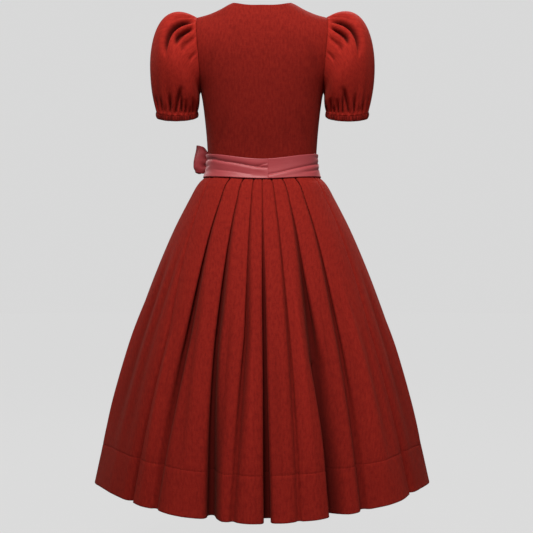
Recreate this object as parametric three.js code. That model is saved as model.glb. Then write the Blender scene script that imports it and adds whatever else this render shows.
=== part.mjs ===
// A dirndl held open in its worn shape with nobody in it: a fitted bodice with puff sleeves, a skirt
// laid in pleats that turn towards centre back, and an apron whose band and tie go round the waist
// to a bow at the wearer's left front. Millimetres, +Z up, the front faces -Y, +X is the wearer's
// left, and the origin lies midway between the shoulders, where the garment is held up.
// Azimuths are degrees from centre back towards the wearer's left, so 180 is centre front.

import * as THREE from 'three';

// ------------------------------------------------------------------ driving dimensions

const SEAM = 0.3;             // gap between two pieces sewn to each other
const BODICE_CLOTH = 1.8;     // wall of the bodice's fronts, cloth and turned edges
const BACK_CLOTH = 1.2;       // wall of the bodice's back, cut in one without a closure
const SLEEVE_CLOTH = 1.5;     // sleeves and cuffs
const SKIRT_CLOTH = 1.2;      // skirt halves
const APRON_CLOTH = 1.2;
const RIBBON = 1.8;           // apron band, tie and bow, two layers of satin

const WAIST = -371;           // height of the waist seam at the sides
const WAIST_DIP = 10;         // how far it drops at centre back and centre front
const SKIRT_DROP = 744;       // height of the skirt below its waist seam

const NECK_HALF = 72;         // half width of the neck opening
const NECK_LOW_HALF = 52;     // and how wide the front neckline is low down
const NECK_POINT = 29;        // height of the shoulder seam's neck end
const NECK_BACK = 14;         // height of the neckline at centre back
const NECK_FRONT = -121;      // height of the neckline at centre front
const NECK_POWER = 3;         // squareness of the front neckline
const SHOULDER_HALF = 155;    // half width over the shoulder seams' sleeve ends
const UNDERARM = -180;        // height of the armhole's lowest point

const CUFF_RADIUS = 50;       // of the sleeve's edge band, and of the puff's edge in it
const CUFF_HEIGHT = 13;       // depth of that band
const CUFF_LEAN = 20;         // degrees that the sleeve's edge dips towards the back

const CLARET = 0x8f1d18;      // the bodice's and sleeves' woven cloth
const RUST = 0x9a241c;        // the same cloth on the skirt
const ROSE = 0xb04a52;        // the apron's satin

const TAU = 2 * Math.PI;
const RAD = Math.PI / 180;

// ------------------------------------------------------------------ tables, a row for each section

// The bodice on a general figure: half width, and depth behind and before the side line's y.
const TORSO = [
  { z: -400, half: 131.5, back: 96.6, front: 95, side: -22 },
  { z: -372, half: 130.5, back: 97.2, front: 95, side: -22 },
  { z: -340, half: 130.8, back: 97.4, front: 97, side: -21 },
  { z: -300, half: 133.0, back: 97.2, front: 104, side: -19 },
  { z: -260, half: 136.5, back: 97.0, front: 116, side: -16 },
  { z: -215, half: 141.5, back: 96.0, front: 127, side: -13 },
  { z: -180, half: 148.0, back: 95.0, front: 126, side: -11 },
  { z: -130, half: 170.0, back: 92.0, front: 120, side: -8 },
  { z: -80, half: 184.0, back: 88.0, front: 112, side: -4 },
  { z: -30, half: 190.0, back: 84.0, front: 105, side: 0 },
  { z: 50, half: 190.0, back: 80.0, front: 100, side: 0 },
];
const TORSO_POWER = 2.3;

// Height of the shoulder's crest at a distance from the centre line.
const CREST = [
  { x: 0, z: 49 },
  { x: 50, z: 40 },
  { x: 72, z: NECK_POINT },
  { x: 80, z: 25.5 },
  { x: 95, z: 17 },
  { x: 114, z: 8 },
  { x: 134, z: 1 },
  { x: 155, z: -4 },
  { x: 190, z: -12 },
];

// Where the armhole cuts the bodice.
const ARMHOLE = [
  { z: -180, x: 148 },
  { z: -168, x: 147.3 },
  { z: -150, x: 147 },
  { z: -110, x: 149 },
  { z: -60, x: 153.5 },
  { z: -20, x: 155 },
  { z: 10, x: 155 },
];

// The skirt's mean surface by the drop below the waist seam.
const FLARE = [
  { drop: 0, half: 129.6, depth: 94.5, centre: -21.8, power: 2.3 },
  { drop: 6, half: 131.2, depth: 96.1, centre: -21.7, power: 2.3 },
  { drop: 14, half: 136.4, depth: 101.4, centre: -21.7, power: 2.3 },
  { drop: 20, half: 143.4, depth: 108, centre: -22, power: 2.25 },
  { drop: 31, half: 154, depth: 120, centre: -21, power: 2.2 },
  { drop: 69, half: 175, depth: 143, centre: -19, power: 2.1 },
  { drop: 146, half: 213.5, depth: 186, centre: -16, power: 2.0 },
  { drop: 281, half: 268.5, depth: 248, centre: -11, power: 1.9 },
  { drop: 434, half: 321, depth: 305, centre: -8, power: 1.85 },
  { drop: 588, half: 363.5, depth: 353, centre: -5, power: 1.8 },
  { drop: 744, half: 399, depth: 395, centre: -4, power: 1.75 },
];

// Height of the hem round the skirt.
const HEMLINE = [
  { azimuth: 0, z: -1122 },
  { azimuth: 26, z: -1117 },
  { azimuth: 49, z: -1109 },
  { azimuth: 69, z: -1103 },
  { azimuth: 90, z: -1112 },
  { azimuth: 135, z: -1112 },
  { azimuth: 180, z: -1117 },
];

// Skirt pleats. at: azimuth from the half's own centre at waist, knee and hem. depth, gap: how deep
// and how open at knee and hem. tuck: how far the fold lies under its neighbour at the waist.
// turn: at waist and hem, 1 where the outer panel's edge lies on top, -1 where the inner one's
// does, 0 for a round open valley.
const BACK_PLEATS = [
  { at: [63, 46, 48], depth: [13, 28], gap: [3, 6], tuck: 7, turn: [-1, -1] },
  { at: [40, 36.5, 37], depth: [25, 10], gap: [9, 12], tuck: 14, turn: [1, 0] },
  { at: [24.5, 21.5, 17.5], depth: [27, 44], gap: [9, 15], tuck: 14, turn: [1, 0.8] },
  { at: [12, 7.3, 8.8], depth: [18, 9], gap: [5, 9], tuck: 13, turn: [1, 0] },
  { at: [0, -1.3, -1.9], depth: [32, 55], gap: [8, 14], tuck: 13, turn: [1, 1], box: true },
  { at: [-13, -12.3, -11.5], depth: [11, 7], gap: [3, 9], tuck: 13, turn: [1, 0] },
  { at: [-26.5, -21.8, -20.5], depth: [27, 44], gap: [9, 15], tuck: 14, turn: [1, 0.15] },
  { at: [-42, -35.5, -34.5], depth: [26, 15], gap: [10, 14], tuck: 14, turn: [1, 0] },
  { at: [-65, -57, -60], depth: [13, 24], gap: [3, 6], tuck: 7, turn: [-1, -1] },
];
const FRONT_PLEATS = [
  { at: [70, 62, 63], depth: [13, 22], gap: [4, 9], tuck: 7, turn: [-1, -1] },
  { at: [43, 38, 37], depth: [22, 18], gap: [8, 12], tuck: 14, turn: [1, 0] },
  { at: [28, 23, 22], depth: [20, 30], gap: [8, 13], tuck: 14, turn: [1, 0.7] },
  { at: [14, 10, 10.5], depth: [15, 12], gap: [5, 9], tuck: 13, turn: [1, 0] },
  { at: [0, 0.5, 1], depth: [24, 36], gap: [8, 13], tuck: 13, turn: [1, 1], box: true },
  { at: [-14, -11, -10], depth: [13, 10], gap: [5, 9], tuck: 13, turn: [1, 0] },
  { at: [-28, -24, -22.5], depth: [20, 32], gap: [8, 13], tuck: 14, turn: [1, 0.2] },
  { at: [-43, -38, -36.5], depth: [22, 16], gap: [8, 12], tuck: 14, turn: [1, 0] },
  { at: [-70, -64, -65], depth: [13, 24], gap: [4, 9], tuck: 7, turn: [-1, -1] },
];
const PLEAT_TOP_DEPTH = 4.8;   // three layers of cloth laid on each other
const KNEE_SHARE = 0.5;        // how far down the skirt the knee columns hold
const FLAT_SHARE = 0.03;       // down to here the pleats are pressed flat
const PANEL_STEP = 12;         // degrees of the hem between the points of a plain panel
const SKIRT_ROWS = [0, 8, 16, 40, 130, 270, 430, 590, SKIRT_DROP];

// ------------------------------------------------------------------ small tools

const lerp = THREE.MathUtils.lerp;
const clamp = THREE.MathUtils.clamp;
const sine = (degrees) => Math.sin(degrees * RAD);
const cosine = (degrees) => Math.cos(degrees * RAD);
const spread = (count, make) => Array.from({ length: count }, (_, i) => make(i / (count - 1), i));

// A smooth curve through one column of a table, with no overshoot between rows.
function through(rows, along, column) {
  const x = rows.map((row) => row[along]);
  const y = rows.map((row) => row[column]);
  const last = x.length - 1;
  const slope = x.slice(1).map((right, i) => (y[i + 1] - y[i]) / (right - x[i]));
  const tangent = y.map((_, i) => {
    if (i === 0 || i === last) return slope[Math.min(i, last - 1)];
    if (slope[i - 1] * slope[i] <= 0) return 0;
    return 2 / (1 / slope[i - 1] + 1 / slope[i]);
  });
  return (at) => {
    const here = clamp(at, x[0], x[last]);
    const i = Math.max(0, Math.min(last - 1, x.findIndex((right) => right > here) - 1));
    const k = here >= x[last] ? last - 1 : i;
    const width = x[k + 1] - x[k];
    const t = (here - x[k]) / width;
    const rise = y[k + 1] - y[k];
    const start = tangent[k] * width;
    const end = tangent[k + 1] * width;
    return y[k] + t * (start + t * (3 * rise - 2 * start - end + t * (start + end - 2 * rise)));
  };
}

const columns = (rows, along, names) =>
  Object.fromEntries(names.map((name) => [name, through(rows, along, name)]));

const smooth = (low, high, value) => THREE.MathUtils.smoothstep(value, low, high);

const SHARPEST = 1.35;         // most that a wall's corner is drawn out to keep its thickness

// A closed wall of even thickness round a grid of points, rows by columns. share is where the
// points lie in the wall: 1 on its outer face, 0.5 in its middle. level cuts the first or the last
// row's edge square to the ground, and outward gives the wall's direction where the grid can't.
function wall(name, grid, thickness, colour, options = {}) {
  const { closed = false, share = 1, roughness = 0.9, level = '', outward = null } = options;
  const rows = grid.length;
  const count = grid[0].length;
  const column = (c) => (closed ? (c + count) % count : clamp(c, 0, count - 1));
  const step = (r, from, to) => grid[r][column(to)].clone().sub(grid[r][column(from)]).normalize();
  const across = (r, c) => step(r, c - 1, c).add(step(r, c, c + 1));
  const along = (r, c) =>
    grid[Math.min(r + 1, rows - 1)][c].clone().sub(grid[Math.max(r - 1, 0)][c]);
  const outer = [];
  const inner = [];
  for (let r = 0; r < rows; r += 1) {
    for (let c = 0; c < count; c += 1) {
      const normal = outward ? outward(grid[r][c]) : across(r, c).cross(along(r, c));
      const edge = (r === 0 && level.includes('first')) || (r === rows - 1 && level.includes('last'));
      if (edge) normal.z = 0;
      const bend = 2 / Math.max(across(r, c).length(), 2 / SHARPEST);
      const inEnd = closed || (c > 0 && c < count - 1);
      normal.setLength(thickness * (inEnd ? bend : 1));
      outer.push(grid[r][c].clone().addScaledVector(normal, 1 - share));
      inner.push(grid[r][c].clone().addScaledVector(normal, -share));
    }
  }
  const inside = outer.length;
  const index = [];
  const quad = (a, b, c, d) => index.push(a, b, c, a, c, d);
  const steps = closed ? count : count - 1;
  for (let c = 0; c < steps; c += 1) {
    const next = column(c + 1);
    for (let r = 0; r < rows - 1; r += 1) {
      const here = r * count;
      const below = here + count;
      const falling = grid[r][c].distanceTo(grid[r + 1][next]);
      const rising = grid[r][next].distanceTo(grid[r + 1][c]);
      const face = [here + c, here + next, below + next, below + c];
      if (rising < falling) face.push(face.shift());
      quad(...face);
      quad(...[face[2], face[1], face[0], face[3]].map((i) => inside + i));
    }
    const foot = (rows - 1) * count;
    quad(next, c, inside + c, inside + next);
    quad(foot + c, foot + next, inside + foot + next, inside + foot + c);
  }
  for (let r = 0; r < rows - 1 && !closed; r += 1) {
    const here = r * count;
    const below = here + count;
    const end = count - 1;
    quad(here, below, inside + below, inside + here);
    quad(below + end, here + end, inside + here + end, inside + below + end);
  }
  return solid(name, [...outer, ...inner], index, colour, roughness);
}

// A mesh from points and triangles, turned so that its faces point out.
function solid(name, points, index, colour, roughness) {
  const volume = (i) => points[index[i]].dot(points[index[i + 1]].clone().cross(points[index[i + 2]]));
  let total = 0;
  for (let i = 0; i < index.length; i += 3) total += volume(i);
  const faces = total > 0 ? index : index.map((_, i) => index[i - (i % 3) + 2 - (i % 3)]);
  const geometry = new THREE.BufferGeometry().setFromPoints(points);
  geometry.setIndex(faces);
  geometry.computeVertexNormals();
  const material = new THREE.MeshStandardMaterial({ color: colour, roughness, metalness: 0 });
  const mesh = new THREE.Mesh(geometry, material);
  mesh.name = name;
  return mesh;
}

// ------------------------------------------------------------------ the bodice's surface

const torso = columns(TORSO, 'z', ['half', 'back', 'front', 'side']);
const crest = through(CREST, 'x', 'z');
const armholeX = through(ARMHOLE, 'z', 'x');
const waistZ = (azimuth) => WAIST - WAIST_DIP * cosine(azimuth) ** 2;
const crestY = (x) => 10 * (1 - Math.abs(x) / 160);

const BLADE = -110;          // above this the back curves forwards to the crest
const BREAST = -200;         // above this the front slopes back to the crest

// The y of the bodice's outer face behind (side 1) or before (side -1) the point x, z.
function bodiceY(x, z, side) {
  const reach = side > 0 ? torso.back(z) : torso.front(z);
  const share = Math.min(1, Math.abs(x) / torso.half(z));
  const plain = torso.side(z) + side * reach * (1 - share ** TORSO_POWER) ** (1 / TORSO_POWER);
  const start = side > 0 ? BLADE : BREAST;
  const rise = clamp((z - start) / (crest(Math.abs(x)) - start), 0, 1);
  const keep = side > 0 ? Math.sqrt(1 - rise * rise) : (1 - rise ** 1.5) ** 0.75;
  return lerp(crestY(x), plain, keep) + side * SEAM / 2;
}

// The top of a bodice column: its x and z, for share 0 at the centre line to 1 at the sleeve.
function backTop(share) {
  const x = SHOULDER_HALF * share;
  const scoop = NECK_BACK + (NECK_POINT - NECK_BACK) * (x / NECK_HALF) ** 3;
  return { x, z: x < NECK_HALF ? scoop : crest(x) };
}

const FRONT_NECK_SHARE = 0.5;  // share of the front's columns that end in the neckline

function frontTop(share) {
  if (share > FRONT_NECK_SHARE) {
    const past = (share - FRONT_NECK_SHARE) / (1 - FRONT_NECK_SHARE);
    const x = lerp(NECK_HALF, SHOULDER_HALF, past);
    return { x, z: crest(x) };
  }
  const turn = 90 * share / FRONT_NECK_SHARE;
  const depth = cosine(turn) ** (2 / NECK_POWER);
  return {
    x: lerp(NECK_HALF, NECK_LOW_HALF, depth) * sine(turn) ** (2 / NECK_POWER),
    z: lerp(NECK_POINT, NECK_FRONT, depth),
  };
}

// Out of the bodice's face at a point of it.
function bodiceOut({ x, y, z }, side) {
  const step = 0.4;
  const slopeX = (bodiceY(x + step, z, side) - bodiceY(x - step, z, side)) / (2 * step);
  const slopeZ = (bodiceY(x, z + step, side) - bodiceY(x, z - step, side)) / (2 * step);
  const onCrest = z > crest(Math.abs(x)) - 0.5;
  return new THREE.Vector3(-slopeX, onCrest ? 0 : 1, -slopeZ).multiplyScalar(side);
}

// A point of the bodice: share across from the centre line, rise from waist 0 to top 1.
function bodicePoint(share, rise, side, top) {
  const foot = torso.half(WAIST) * sine(90 * share);
  const away = bodiceY(foot, WAIST, side) - torso.side(WAIST);
  const base = waistZ(Math.atan2(foot, away) / RAD) + SEAM / 2;
  const sleeveBase = waistZ(90) + SEAM / 2;
  const end = top(1);
  const edgeZ = lerp(sleeveBase, end.z, rise);
  const limit = edgeZ < UNDERARM ? torso.half(edgeZ) : armholeX(edgeZ);
  const loose = smooth(0.25, 1, rise);
  const peak = top(share);
  const x = limit * lerp(sine(90 * share), peak.x / end.x, loose);
  const z = lerp(base, peak.z, rise);
  return { x, y: bodiceY(x, z, side), z };
}

const BODICE_RISES = [0, 0.1, 0.22, 0.36, 0.48, 0.53, 0.62, 0.72, 0.83, 0.92, 0.975, 1];

function bodiceBack() {
  const neck = NECK_HALF / SHOULDER_HALF;
  const half = [0, 0.16, 0.32, neck, 0.6, 0.72, 0.83, 0.92, 1];
  const shares = [...half.slice(1).reverse().map((s) => -s), ...half];
  const grid = BODICE_RISES.map((rise) => shares.map((share) => {
    const p = bodicePoint(Math.abs(share), rise, 1, backTop);
    return new THREE.Vector3(Math.sign(share) * p.x, p.y, p.z);
  }));
  return wall('bodice_back', grid, BACK_CLOTH, CLARET, {
    level: 'first',
    outward: (p) => bodiceOut(p, 1),
  });
}

function bodiceFront(name, hand) {
  const neck = [0, 0.1, 0.2, 0.3, 0.38, 0.44, 0.475];
  const shares = [...neck, FRONT_NECK_SHARE, 0.6, 0.7, 0.8, 0.9, 1];
  const grid = BODICE_RISES.map((rise) => shares.map((share) => {
    const p = bodicePoint(share, rise, -1, frontTop);
    return new THREE.Vector3(hand * Math.max(p.x, SEAM / 2), p.y, p.z);
  }));
  return wall(name, hand > 0 ? grid : grid.map((row) => row.reverse()), BODICE_CLOTH, CLARET, {
    level: 'first',
    outward: (p) => bodiceOut(p, -1),
  });
}

// ------------------------------------------------------------------ sleeves

const CUFF_TOP = new THREE.Vector3(205, -12, -227);
const SLEEVE_CLEAR = 0.7;      // from the armhole's edge to the sleeve
const SLEEVE_COLUMNS = 48;
const GATHERS = 12;            // gathers drawn into the cuff
const CAP_PLEAT = 22.5;        // degrees of the armhole that one cap pleat takes

// How the sleeve leaves the armhole and arrives at the cuff, along the arm's outer side, its back
// or front, and under it.
const PUFF = {
  top: { out: 345, wide: 0, up: 205, inward: -95, close: 0, down: -290 },
  side: { out: 230, wide: 165, up: 25, inward: -10, close: -140, down: -270 },
  under: { out: 12, wide: 0, up: -10, inward: 22, close: 0, down: -70 },
};

// A PUFF column at an angle round the arm, from 0 at the top by 90 at the back to 180 below.
function puff(column, turn) {
  const c = cosine(turn);
  const [top, side, under] = [PUFF.top[column], PUFF.side[column], PUFF.under[column]];
  return side + (top - under) / 2 * c + ((top + under) / 2 - side) * c * c;
}

function armholePoint(turn) {
  const high = crest(SHOULDER_HALF);
  const z = lerp(UNDERARM, high, (1 + cosine(turn)) / 2);
  const x = armholeX(z);
  const side = sine(turn) >= 0 ? 1 : -1;
  const y = bodiceY(x, Math.min(z, high - 0.02), side) - side * SEAM / 2;
  return new THREE.Vector3(x + SLEEVE_CLEAR, y, z);
}

function cuffPoint(turn, radius, below) {
  const lean = CUFF_LEAN * RAD;
  const sideways = radius * sine(turn);
  return new THREE.Vector3(
    CUFF_TOP.x + radius * cosine(turn),
    CUFF_TOP.y + sideways * Math.cos(lean) - below * Math.sin(lean),
    CUFF_TOP.z - sideways * Math.sin(lean) - below * Math.cos(lean),
  );
}

// The plain puffed surface, share 0 at the armhole to 1 at the cuff.
function puffPoint(turn, share) {
  const s2 = share * share;
  const s3 = s2 * share;
  const side = sine(turn);
  const leave = new THREE.Vector3(puff('out', turn), side * puff('wide', 90), puff('up', turn));
  const arrive = new THREE.Vector3(puff('inward', turn), side * puff('close', 90), puff('down', turn));
  return armholePoint(turn).multiplyScalar(2 * s3 - 3 * s2 + 1)
    .addScaledVector(leave, s3 - 2 * s2 + share)
    .addScaledVector(cuffPoint(turn, CUFF_RADIUS, 0), 3 * s2 - 2 * s3)
    .addScaledVector(arrive, s3 - s2);
}

// How far the cap's pleats and the cuff's gathers draw the cloth in.
function sleeveFold(turn, share) {
  const near = Math.abs(THREE.MathUtils.euclideanModulo(turn + 180, 360) - 180);
  const cap = smooth(0, 0.12, share) * (1 - smooth(0.2, 0.6, share)) * (1 - smooth(60, 110, near));
  const drawn = smooth(0.66, 0.9, share) * lerp(1, 0.45, smooth(0.9, 1, share));
  const capWave = (1 - Math.cos(TAU * near / CAP_PLEAT)) / 2;
  const drawnWave = (1 - Math.cos(GATHERS * turn * RAD)) / 2;
  return 11 * cap * capWave + 6.5 * drawn * drawnWave;
}

function sleevePoint(turn, share) {
  const p = puffPoint(turn, share);
  const across = puffPoint(turn + 1, share).sub(puffPoint(turn - 1, share));
  const low = Math.max(0, share - 0.01);
  const high = Math.min(1, share + 0.01);
  const along = puffPoint(turn, high).sub(puffPoint(turn, low));
  const outward = along.cross(across).normalize();
  return p.addScaledVector(outward, -sleeveFold(turn, share));
}

const mirrored = (p, hand) => new THREE.Vector3(hand * p.x, p.y, p.z);
const around = (count, make) => Array.from({ length: count }, (_, i) => make(i * 360 / count));
const facing = (row, hand) => (hand > 0 ? row : row.reverse());

function sleeve(name, hand) {
  const shares = [0, 0.08, 0.22, 0.42, 0.64, 0.86, 0.998];
  const grid = shares.map((share) =>
    facing(around(SLEEVE_COLUMNS, (turn) => mirrored(sleevePoint(-turn, share), hand)), hand));
  return wall(name, grid, SLEEVE_CLOTH, CLARET, { closed: true });
}

function cuff(name, hand) {
  const ruffle = (turn) => 0.8 * Math.cos(GATHERS * turn * RAD);
  const rows = [
    { below: 0.1, radius: CUFF_RADIUS },
    { below: CUFF_HEIGHT, radius: CUFF_RADIUS + 0.6 },
  ];
  const grid = rows.map(({ below, radius }) => facing(around(SLEEVE_COLUMNS, (turn) =>
    mirrored(cuffPoint(-turn, radius + ruffle(turn), below + SEAM), hand)), hand));
  return wall(name, grid, SLEEVE_CLOTH, CLARET, { closed: true });
}

// ------------------------------------------------------------------ skirt

const flare = columns(FLARE, 'drop', ['half', 'depth', 'centre', 'power']);
const hemline = through(HEMLINE, 'azimuth', 'z');
const hemZ = (azimuth) =>
  hemline(Math.abs(THREE.MathUtils.euclideanModulo(azimuth + 180, 360) - 180));

// The skirt's mean surface at an azimuth and a drop, without its pleats.
function skirtBase(azimuth, drop) {
  const s = sine(azimuth);
  const c = cosine(azimuth);
  const power = flare.power(drop);
  const reach = (Math.abs(s) / flare.half(drop)) ** power + (Math.abs(c) / flare.depth(drop)) ** power;
  const r = reach ** (-1 / power);
  const top = waistZ(azimuth) - SEAM / 2;
  const z = lerp(top, hemZ(azimuth), drop / SKIRT_DROP);
  return new THREE.Vector3(r * s, flare.centre(drop) + r * c, z);
}

// The same, moved sideways and outwards in the cloth's own directions.
function skirtPoint(azimuth, drop, sideways, outwards) {
  const step = 0.5;
  const tangent = skirtBase(azimuth + step, drop).sub(skirtBase(azimuth - step, drop));
  const perDegree = tangent.length() / (2 * step);
  const there = azimuth + sideways / perDegree;
  const local = skirtBase(there - step, drop).sub(skirtBase(there + step, drop));
  const down = skirtBase(there, drop + 2).sub(skirtBase(there, drop - 2));
  const tilt = smooth(0, 8, drop) * (1 - smooth(60, 220, drop));
  const normal = down.cross(local).normalize();
  normal.z *= tilt;
  return skirtBase(there, drop).addScaledVector(normal.normalize(), outwards);
}

// Pleat outlines in the cloth's plane, from the inner panel to the outer one: x is the distance
// outwards from the pleat's line and y the height over the mean surface.
function knifePleat(depth, gap, tuck) {
  const tip = tuck + 0.12 * depth;
  return [
    { x: -(gap + 0.42 * depth + 3), y: 0 },
    { x: -(0.6 * gap + 0.2 * depth + 1.6), y: -0.36 * depth },
    { x: -0.1 * gap - 0.5, y: -depth },
    { x: tip, y: -0.94 * depth },
    { x: tip, y: -0.57 * depth },
    { x: 0, y: -0.47 * depth },
    { x: 0, y: -0.09 * depth },
    { x: 0.3 * depth + 1.2, y: 0 },
  ];
}

function openPleat(depth, gap) {
  const brim = 0.5 * gap + 0.55 * depth + 3;
  return [
    { x: -brim, y: 0 },
    { x: -0.4 * gap - 0.3 * depth, y: -0.5 * depth },
    { x: -0.15 * gap - 0.12 * depth, y: -0.95 * depth },
    { x: 0.12 * gap + 0.08 * depth, y: -0.98 * depth },
    { x: 0.3 * gap + 0.2 * depth, y: -0.8 * depth },
    { x: 0.4 * gap + 0.29 * depth, y: -0.52 * depth },
    { x: 0.5 * gap + 0.4 * depth, y: -0.2 * depth },
    { x: brim, y: 0 },
  ];
}

const flipped = (outline) => outline.map(({ x, y }) => ({ x: -x, y })).reverse();
const bothHands = (right) => [...flipped(right), ...right];

function boxPleat(depth, gap, tuck) {
  const edge = gap / 2 + 1;
  const tip = edge + tuck + 0.1 * depth;
  return bothHands([
    { x: tip, y: -0.94 * depth },
    { x: tip, y: -0.57 * depth },
    { x: edge, y: -0.47 * depth },
    { x: edge, y: -0.09 * depth },
    { x: edge + 0.25 * depth + 1.5, y: 0 },
  ]);
}

const mixed = (a, b, t) => a.map((p, i) => ({ x: lerp(p.x, b[i].x, t), y: lerp(p.y, b[i].y, t) }));

// A pleat at a share of the way down: where its line is, and its outline.
function pleatAt(pleat, share) {
  const opened = (top, [knee, hem]) => (share < KNEE_SHARE
    ? lerp(top, knee, smooth(FLAT_SHARE, KNEE_SHARE, share))
    : lerp(knee, hem, smooth(KNEE_SHARE, 1, share)));
  const [waist, knee, hem] = pleat.at;
  const azimuth = share < KNEE_SHARE
    ? lerp(waist, knee, (share / KNEE_SHARE) ** 0.6)
    : lerp(knee, hem, (share - KNEE_SHARE) / (1 - KNEE_SHARE));
  const depth = opened(PLEAT_TOP_DEPTH, pleat.depth);
  const gap = opened(0.4, pleat.gap);
  const tuck = pleat.tuck * (1 - 0.75 * smooth(FLAT_SHARE, 1, share));
  if (pleat.box) return { azimuth, outline: boxPleat(depth, gap, tuck) };
  const turn = lerp(...pleat.turn, smooth(0.25, 0.85, share));
  const laid = mixed(openPleat(depth, gap), knifePleat(depth, gap, tuck), Math.abs(turn));
  return { azimuth, outline: turn >= 0 ? laid : flipped(laid) };
}

// One ring of a skirt half, from its left to its right side seam as seen from behind it.
function skirtRing(pleats, facingAzimuth, drop) {
  const share = drop / SKIRT_DROP;
  const marks = pleats.map((pleat) => {
    const { azimuth, outline } = pleatAt(pleat, share);
    const hand = azimuth < 0 && !pleat.box ? -1 : 1;
    const path = outline.map(({ x, y }) => ({ azimuth, sideways: hand * x, outwards: y }));
    return hand > 0 ? path.reverse() : path;
  });
  const edge = 90 - SEAM / 2 / (flare.depth(drop) * RAD);
  const perDegree = flare.depth(drop) * RAD;
  const place = ({ azimuth, sideways }) => azimuth + sideways / perDegree;
  const points = [{ azimuth: edge, sideways: 0, outwards: 0 }];
  const side = { azimuth: -edge, sideways: 0, outwards: 0 };
  const stops = [90, ...pleats.map(({ at: [, , hem] }) => hem), -90];
  [...marks, [side]].forEach((path, i) => {
    const from = place(points[points.length - 1]);
    const to = place(path[0]);
    const parts = 1 + Math.max(1, Math.round((stops[i] - stops[i + 1]) / PANEL_STEP));
    const full = 0.035 * share * Math.min(from - to, 20) * perDegree;
    for (let k = 1; k < parts; k += 1) {
      const along = k / parts;
      const outwards = i === 0 || i === marks.length ? 0 : full * 4 * along * (1 - along);
      points.push({ azimuth: lerp(from, to, along), sideways: 0, outwards });
    }
    points.push(...path);
  });
  return points.map((p) => skirtPoint(p.azimuth + facingAzimuth, drop, p.sideways, p.outwards));
}

function skirtHalf(name, pleats, facingAzimuth) {
  const grid = SKIRT_ROWS.map((drop) => skirtRing(pleats, facingAzimuth, drop));
  return wall(name, grid, SKIRT_CLOTH, RUST, { share: 0.5, level: 'first' });
}

// ------------------------------------------------------------------ apron

const APRON = {
  waistHalf: 48,     // half its width in degrees at the band
  hemHalf: 49,
  length: 676,       // down the front from the band
  gathers: 18,
  bandDrop: 14.5,    // how far below the waist seam the band ends
  clear: 1.9,        // from the skirt's mean surface to the apron's middle, at the band
  lift: 3,           // and how much more at its hem
};

function apron() {
  const foot = APRON.bandDrop + APRON.length;
  const head = APRON.bandDrop + 5 * SEAM;
  const drops = [head, ...SKIRT_ROWS.filter((drop) => drop > head + 1 && drop < foot), foot];
  const count = APRON.gathers * 2 + 1;
  const grid = drops.map((drop) => {
    const share = (drop - head) / APRON.length;
    const half = lerp(APRON.waistHalf, APRON.hemHalf, share);
    const swell = 1.2 + 9 * smooth(0, 1, share);
    return spread(count, (across, i) => {
      const wave = i % 2 ? swell * (0.75 + 0.25 * Math.sin(5 * i)) : 0;
      const azimuth = 180 - half + 2 * half * across;
      const sewn = drop === head;
      const out = APRON.clear + APRON.lift * share + (sewn ? 0 : wave);
      const p = skirtPoint(azimuth, drop, 0, out);
      return sewn ? p.setZ(sashFoot(azimuth) - SEAM) : p;
    });
  });
  return wall('apron', grid, APRON_CLOTH, ROSE, { share: 0.5, roughness: 0.55, level: 'first' });
}

// ------------------------------------------------------------------ apron band and tie

const BAND_END = -8;          // azimuth of the band's stitched end, just right of centre back
const KNOT = 122;             // azimuth of the knot
const KNOT_HALF = 0.25;       // degrees from the knot's middle to the end of the band or the tie
const KNOT_TALL = 26;         // height that the band and the tie are drawn in to at the knot
const BAND_CLEAR = 0.35;      // from the bodice to the band's back, beyond the seam's gap

// Heights of the band's two edges: deep at the sides, narrower at centre back and front.
const sashTop = (azimuth) => -331 - 19 * cosine(azimuth) ** 2;
const sashFoot = (azimuth) => waistZ(azimuth) - APRON.bandDrop;

// The outside of the dress at the waist, where the band lies on it.
function waistPoint(azimuth, z, off) {
  const s = sine(azimuth);
  const c = cosine(azimuth);
  const depth = c > 0 ? torso.back(z) : torso.front(z);
  const reach = (Math.abs(s) / torso.half(z)) ** TORSO_POWER + (Math.abs(c) / depth) ** TORSO_POWER;
  const r = reach ** (-1 / TORSO_POWER) + off;
  return new THREE.Vector3(r * s, torso.side(z) + r * c, z);
}

// Creases along the band: how far each share of its width stands out at an azimuth.
function sashCrease(share, azimuth) {
  const drift = share * 2.2 + azimuth / 170;
  return 0.9 * (1 - Math.cos(TAU * drift)) / 2 + 7.2 * share ** 3;
}

// A strip round the waist between two azimuths, drawn in to the knot over drawn degrees.
function sashStrip(name, from, to, count, drawn, crease) {
  const grid = spread(5, (share) => spread(count, (across) => {
    const azimuth = lerp(from, to, across);
    const away = Math.abs(THREE.MathUtils.euclideanModulo(azimuth, 360) - KNOT);
    const full = away > drawn ? 1 : smooth(0, drawn, away);
    const [top, foot] = [sashTop(azimuth), sashFoot(azimuth)];
    const high = lerp(BOW.z + KNOT_TALL / 2, top, full);
    const z = lerp(high, lerp(BOW.z - KNOT_TALL / 2, foot, full), share);
    const level = (top - z) / (top - foot);
    return waistPoint(azimuth, z, SEAM + RIBBON + BAND_CLEAR + crease(level, azimuth));
  }));
  return wall(name, grid, RIBBON, ROSE, { roughness: 0.5, level: 'first last' });
}

const bandCrease = (share) => 0.6 + 7.2 * share ** 3;
const apronBand = () =>
  sashStrip('apron_band', BAND_END, KNOT - 360 + KNOT_HALF, 38, 9, bandCrease);
const tie = () => sashStrip('tie', KNOT - KNOT_HALF, BAND_END + 0.2, 26, 20, sashCrease);

// ------------------------------------------------------------------ bow

const BOW = { z: -346, width: 66, pinch: 20, loop: 56, start: 10.6, stand: 3.9 };

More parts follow.
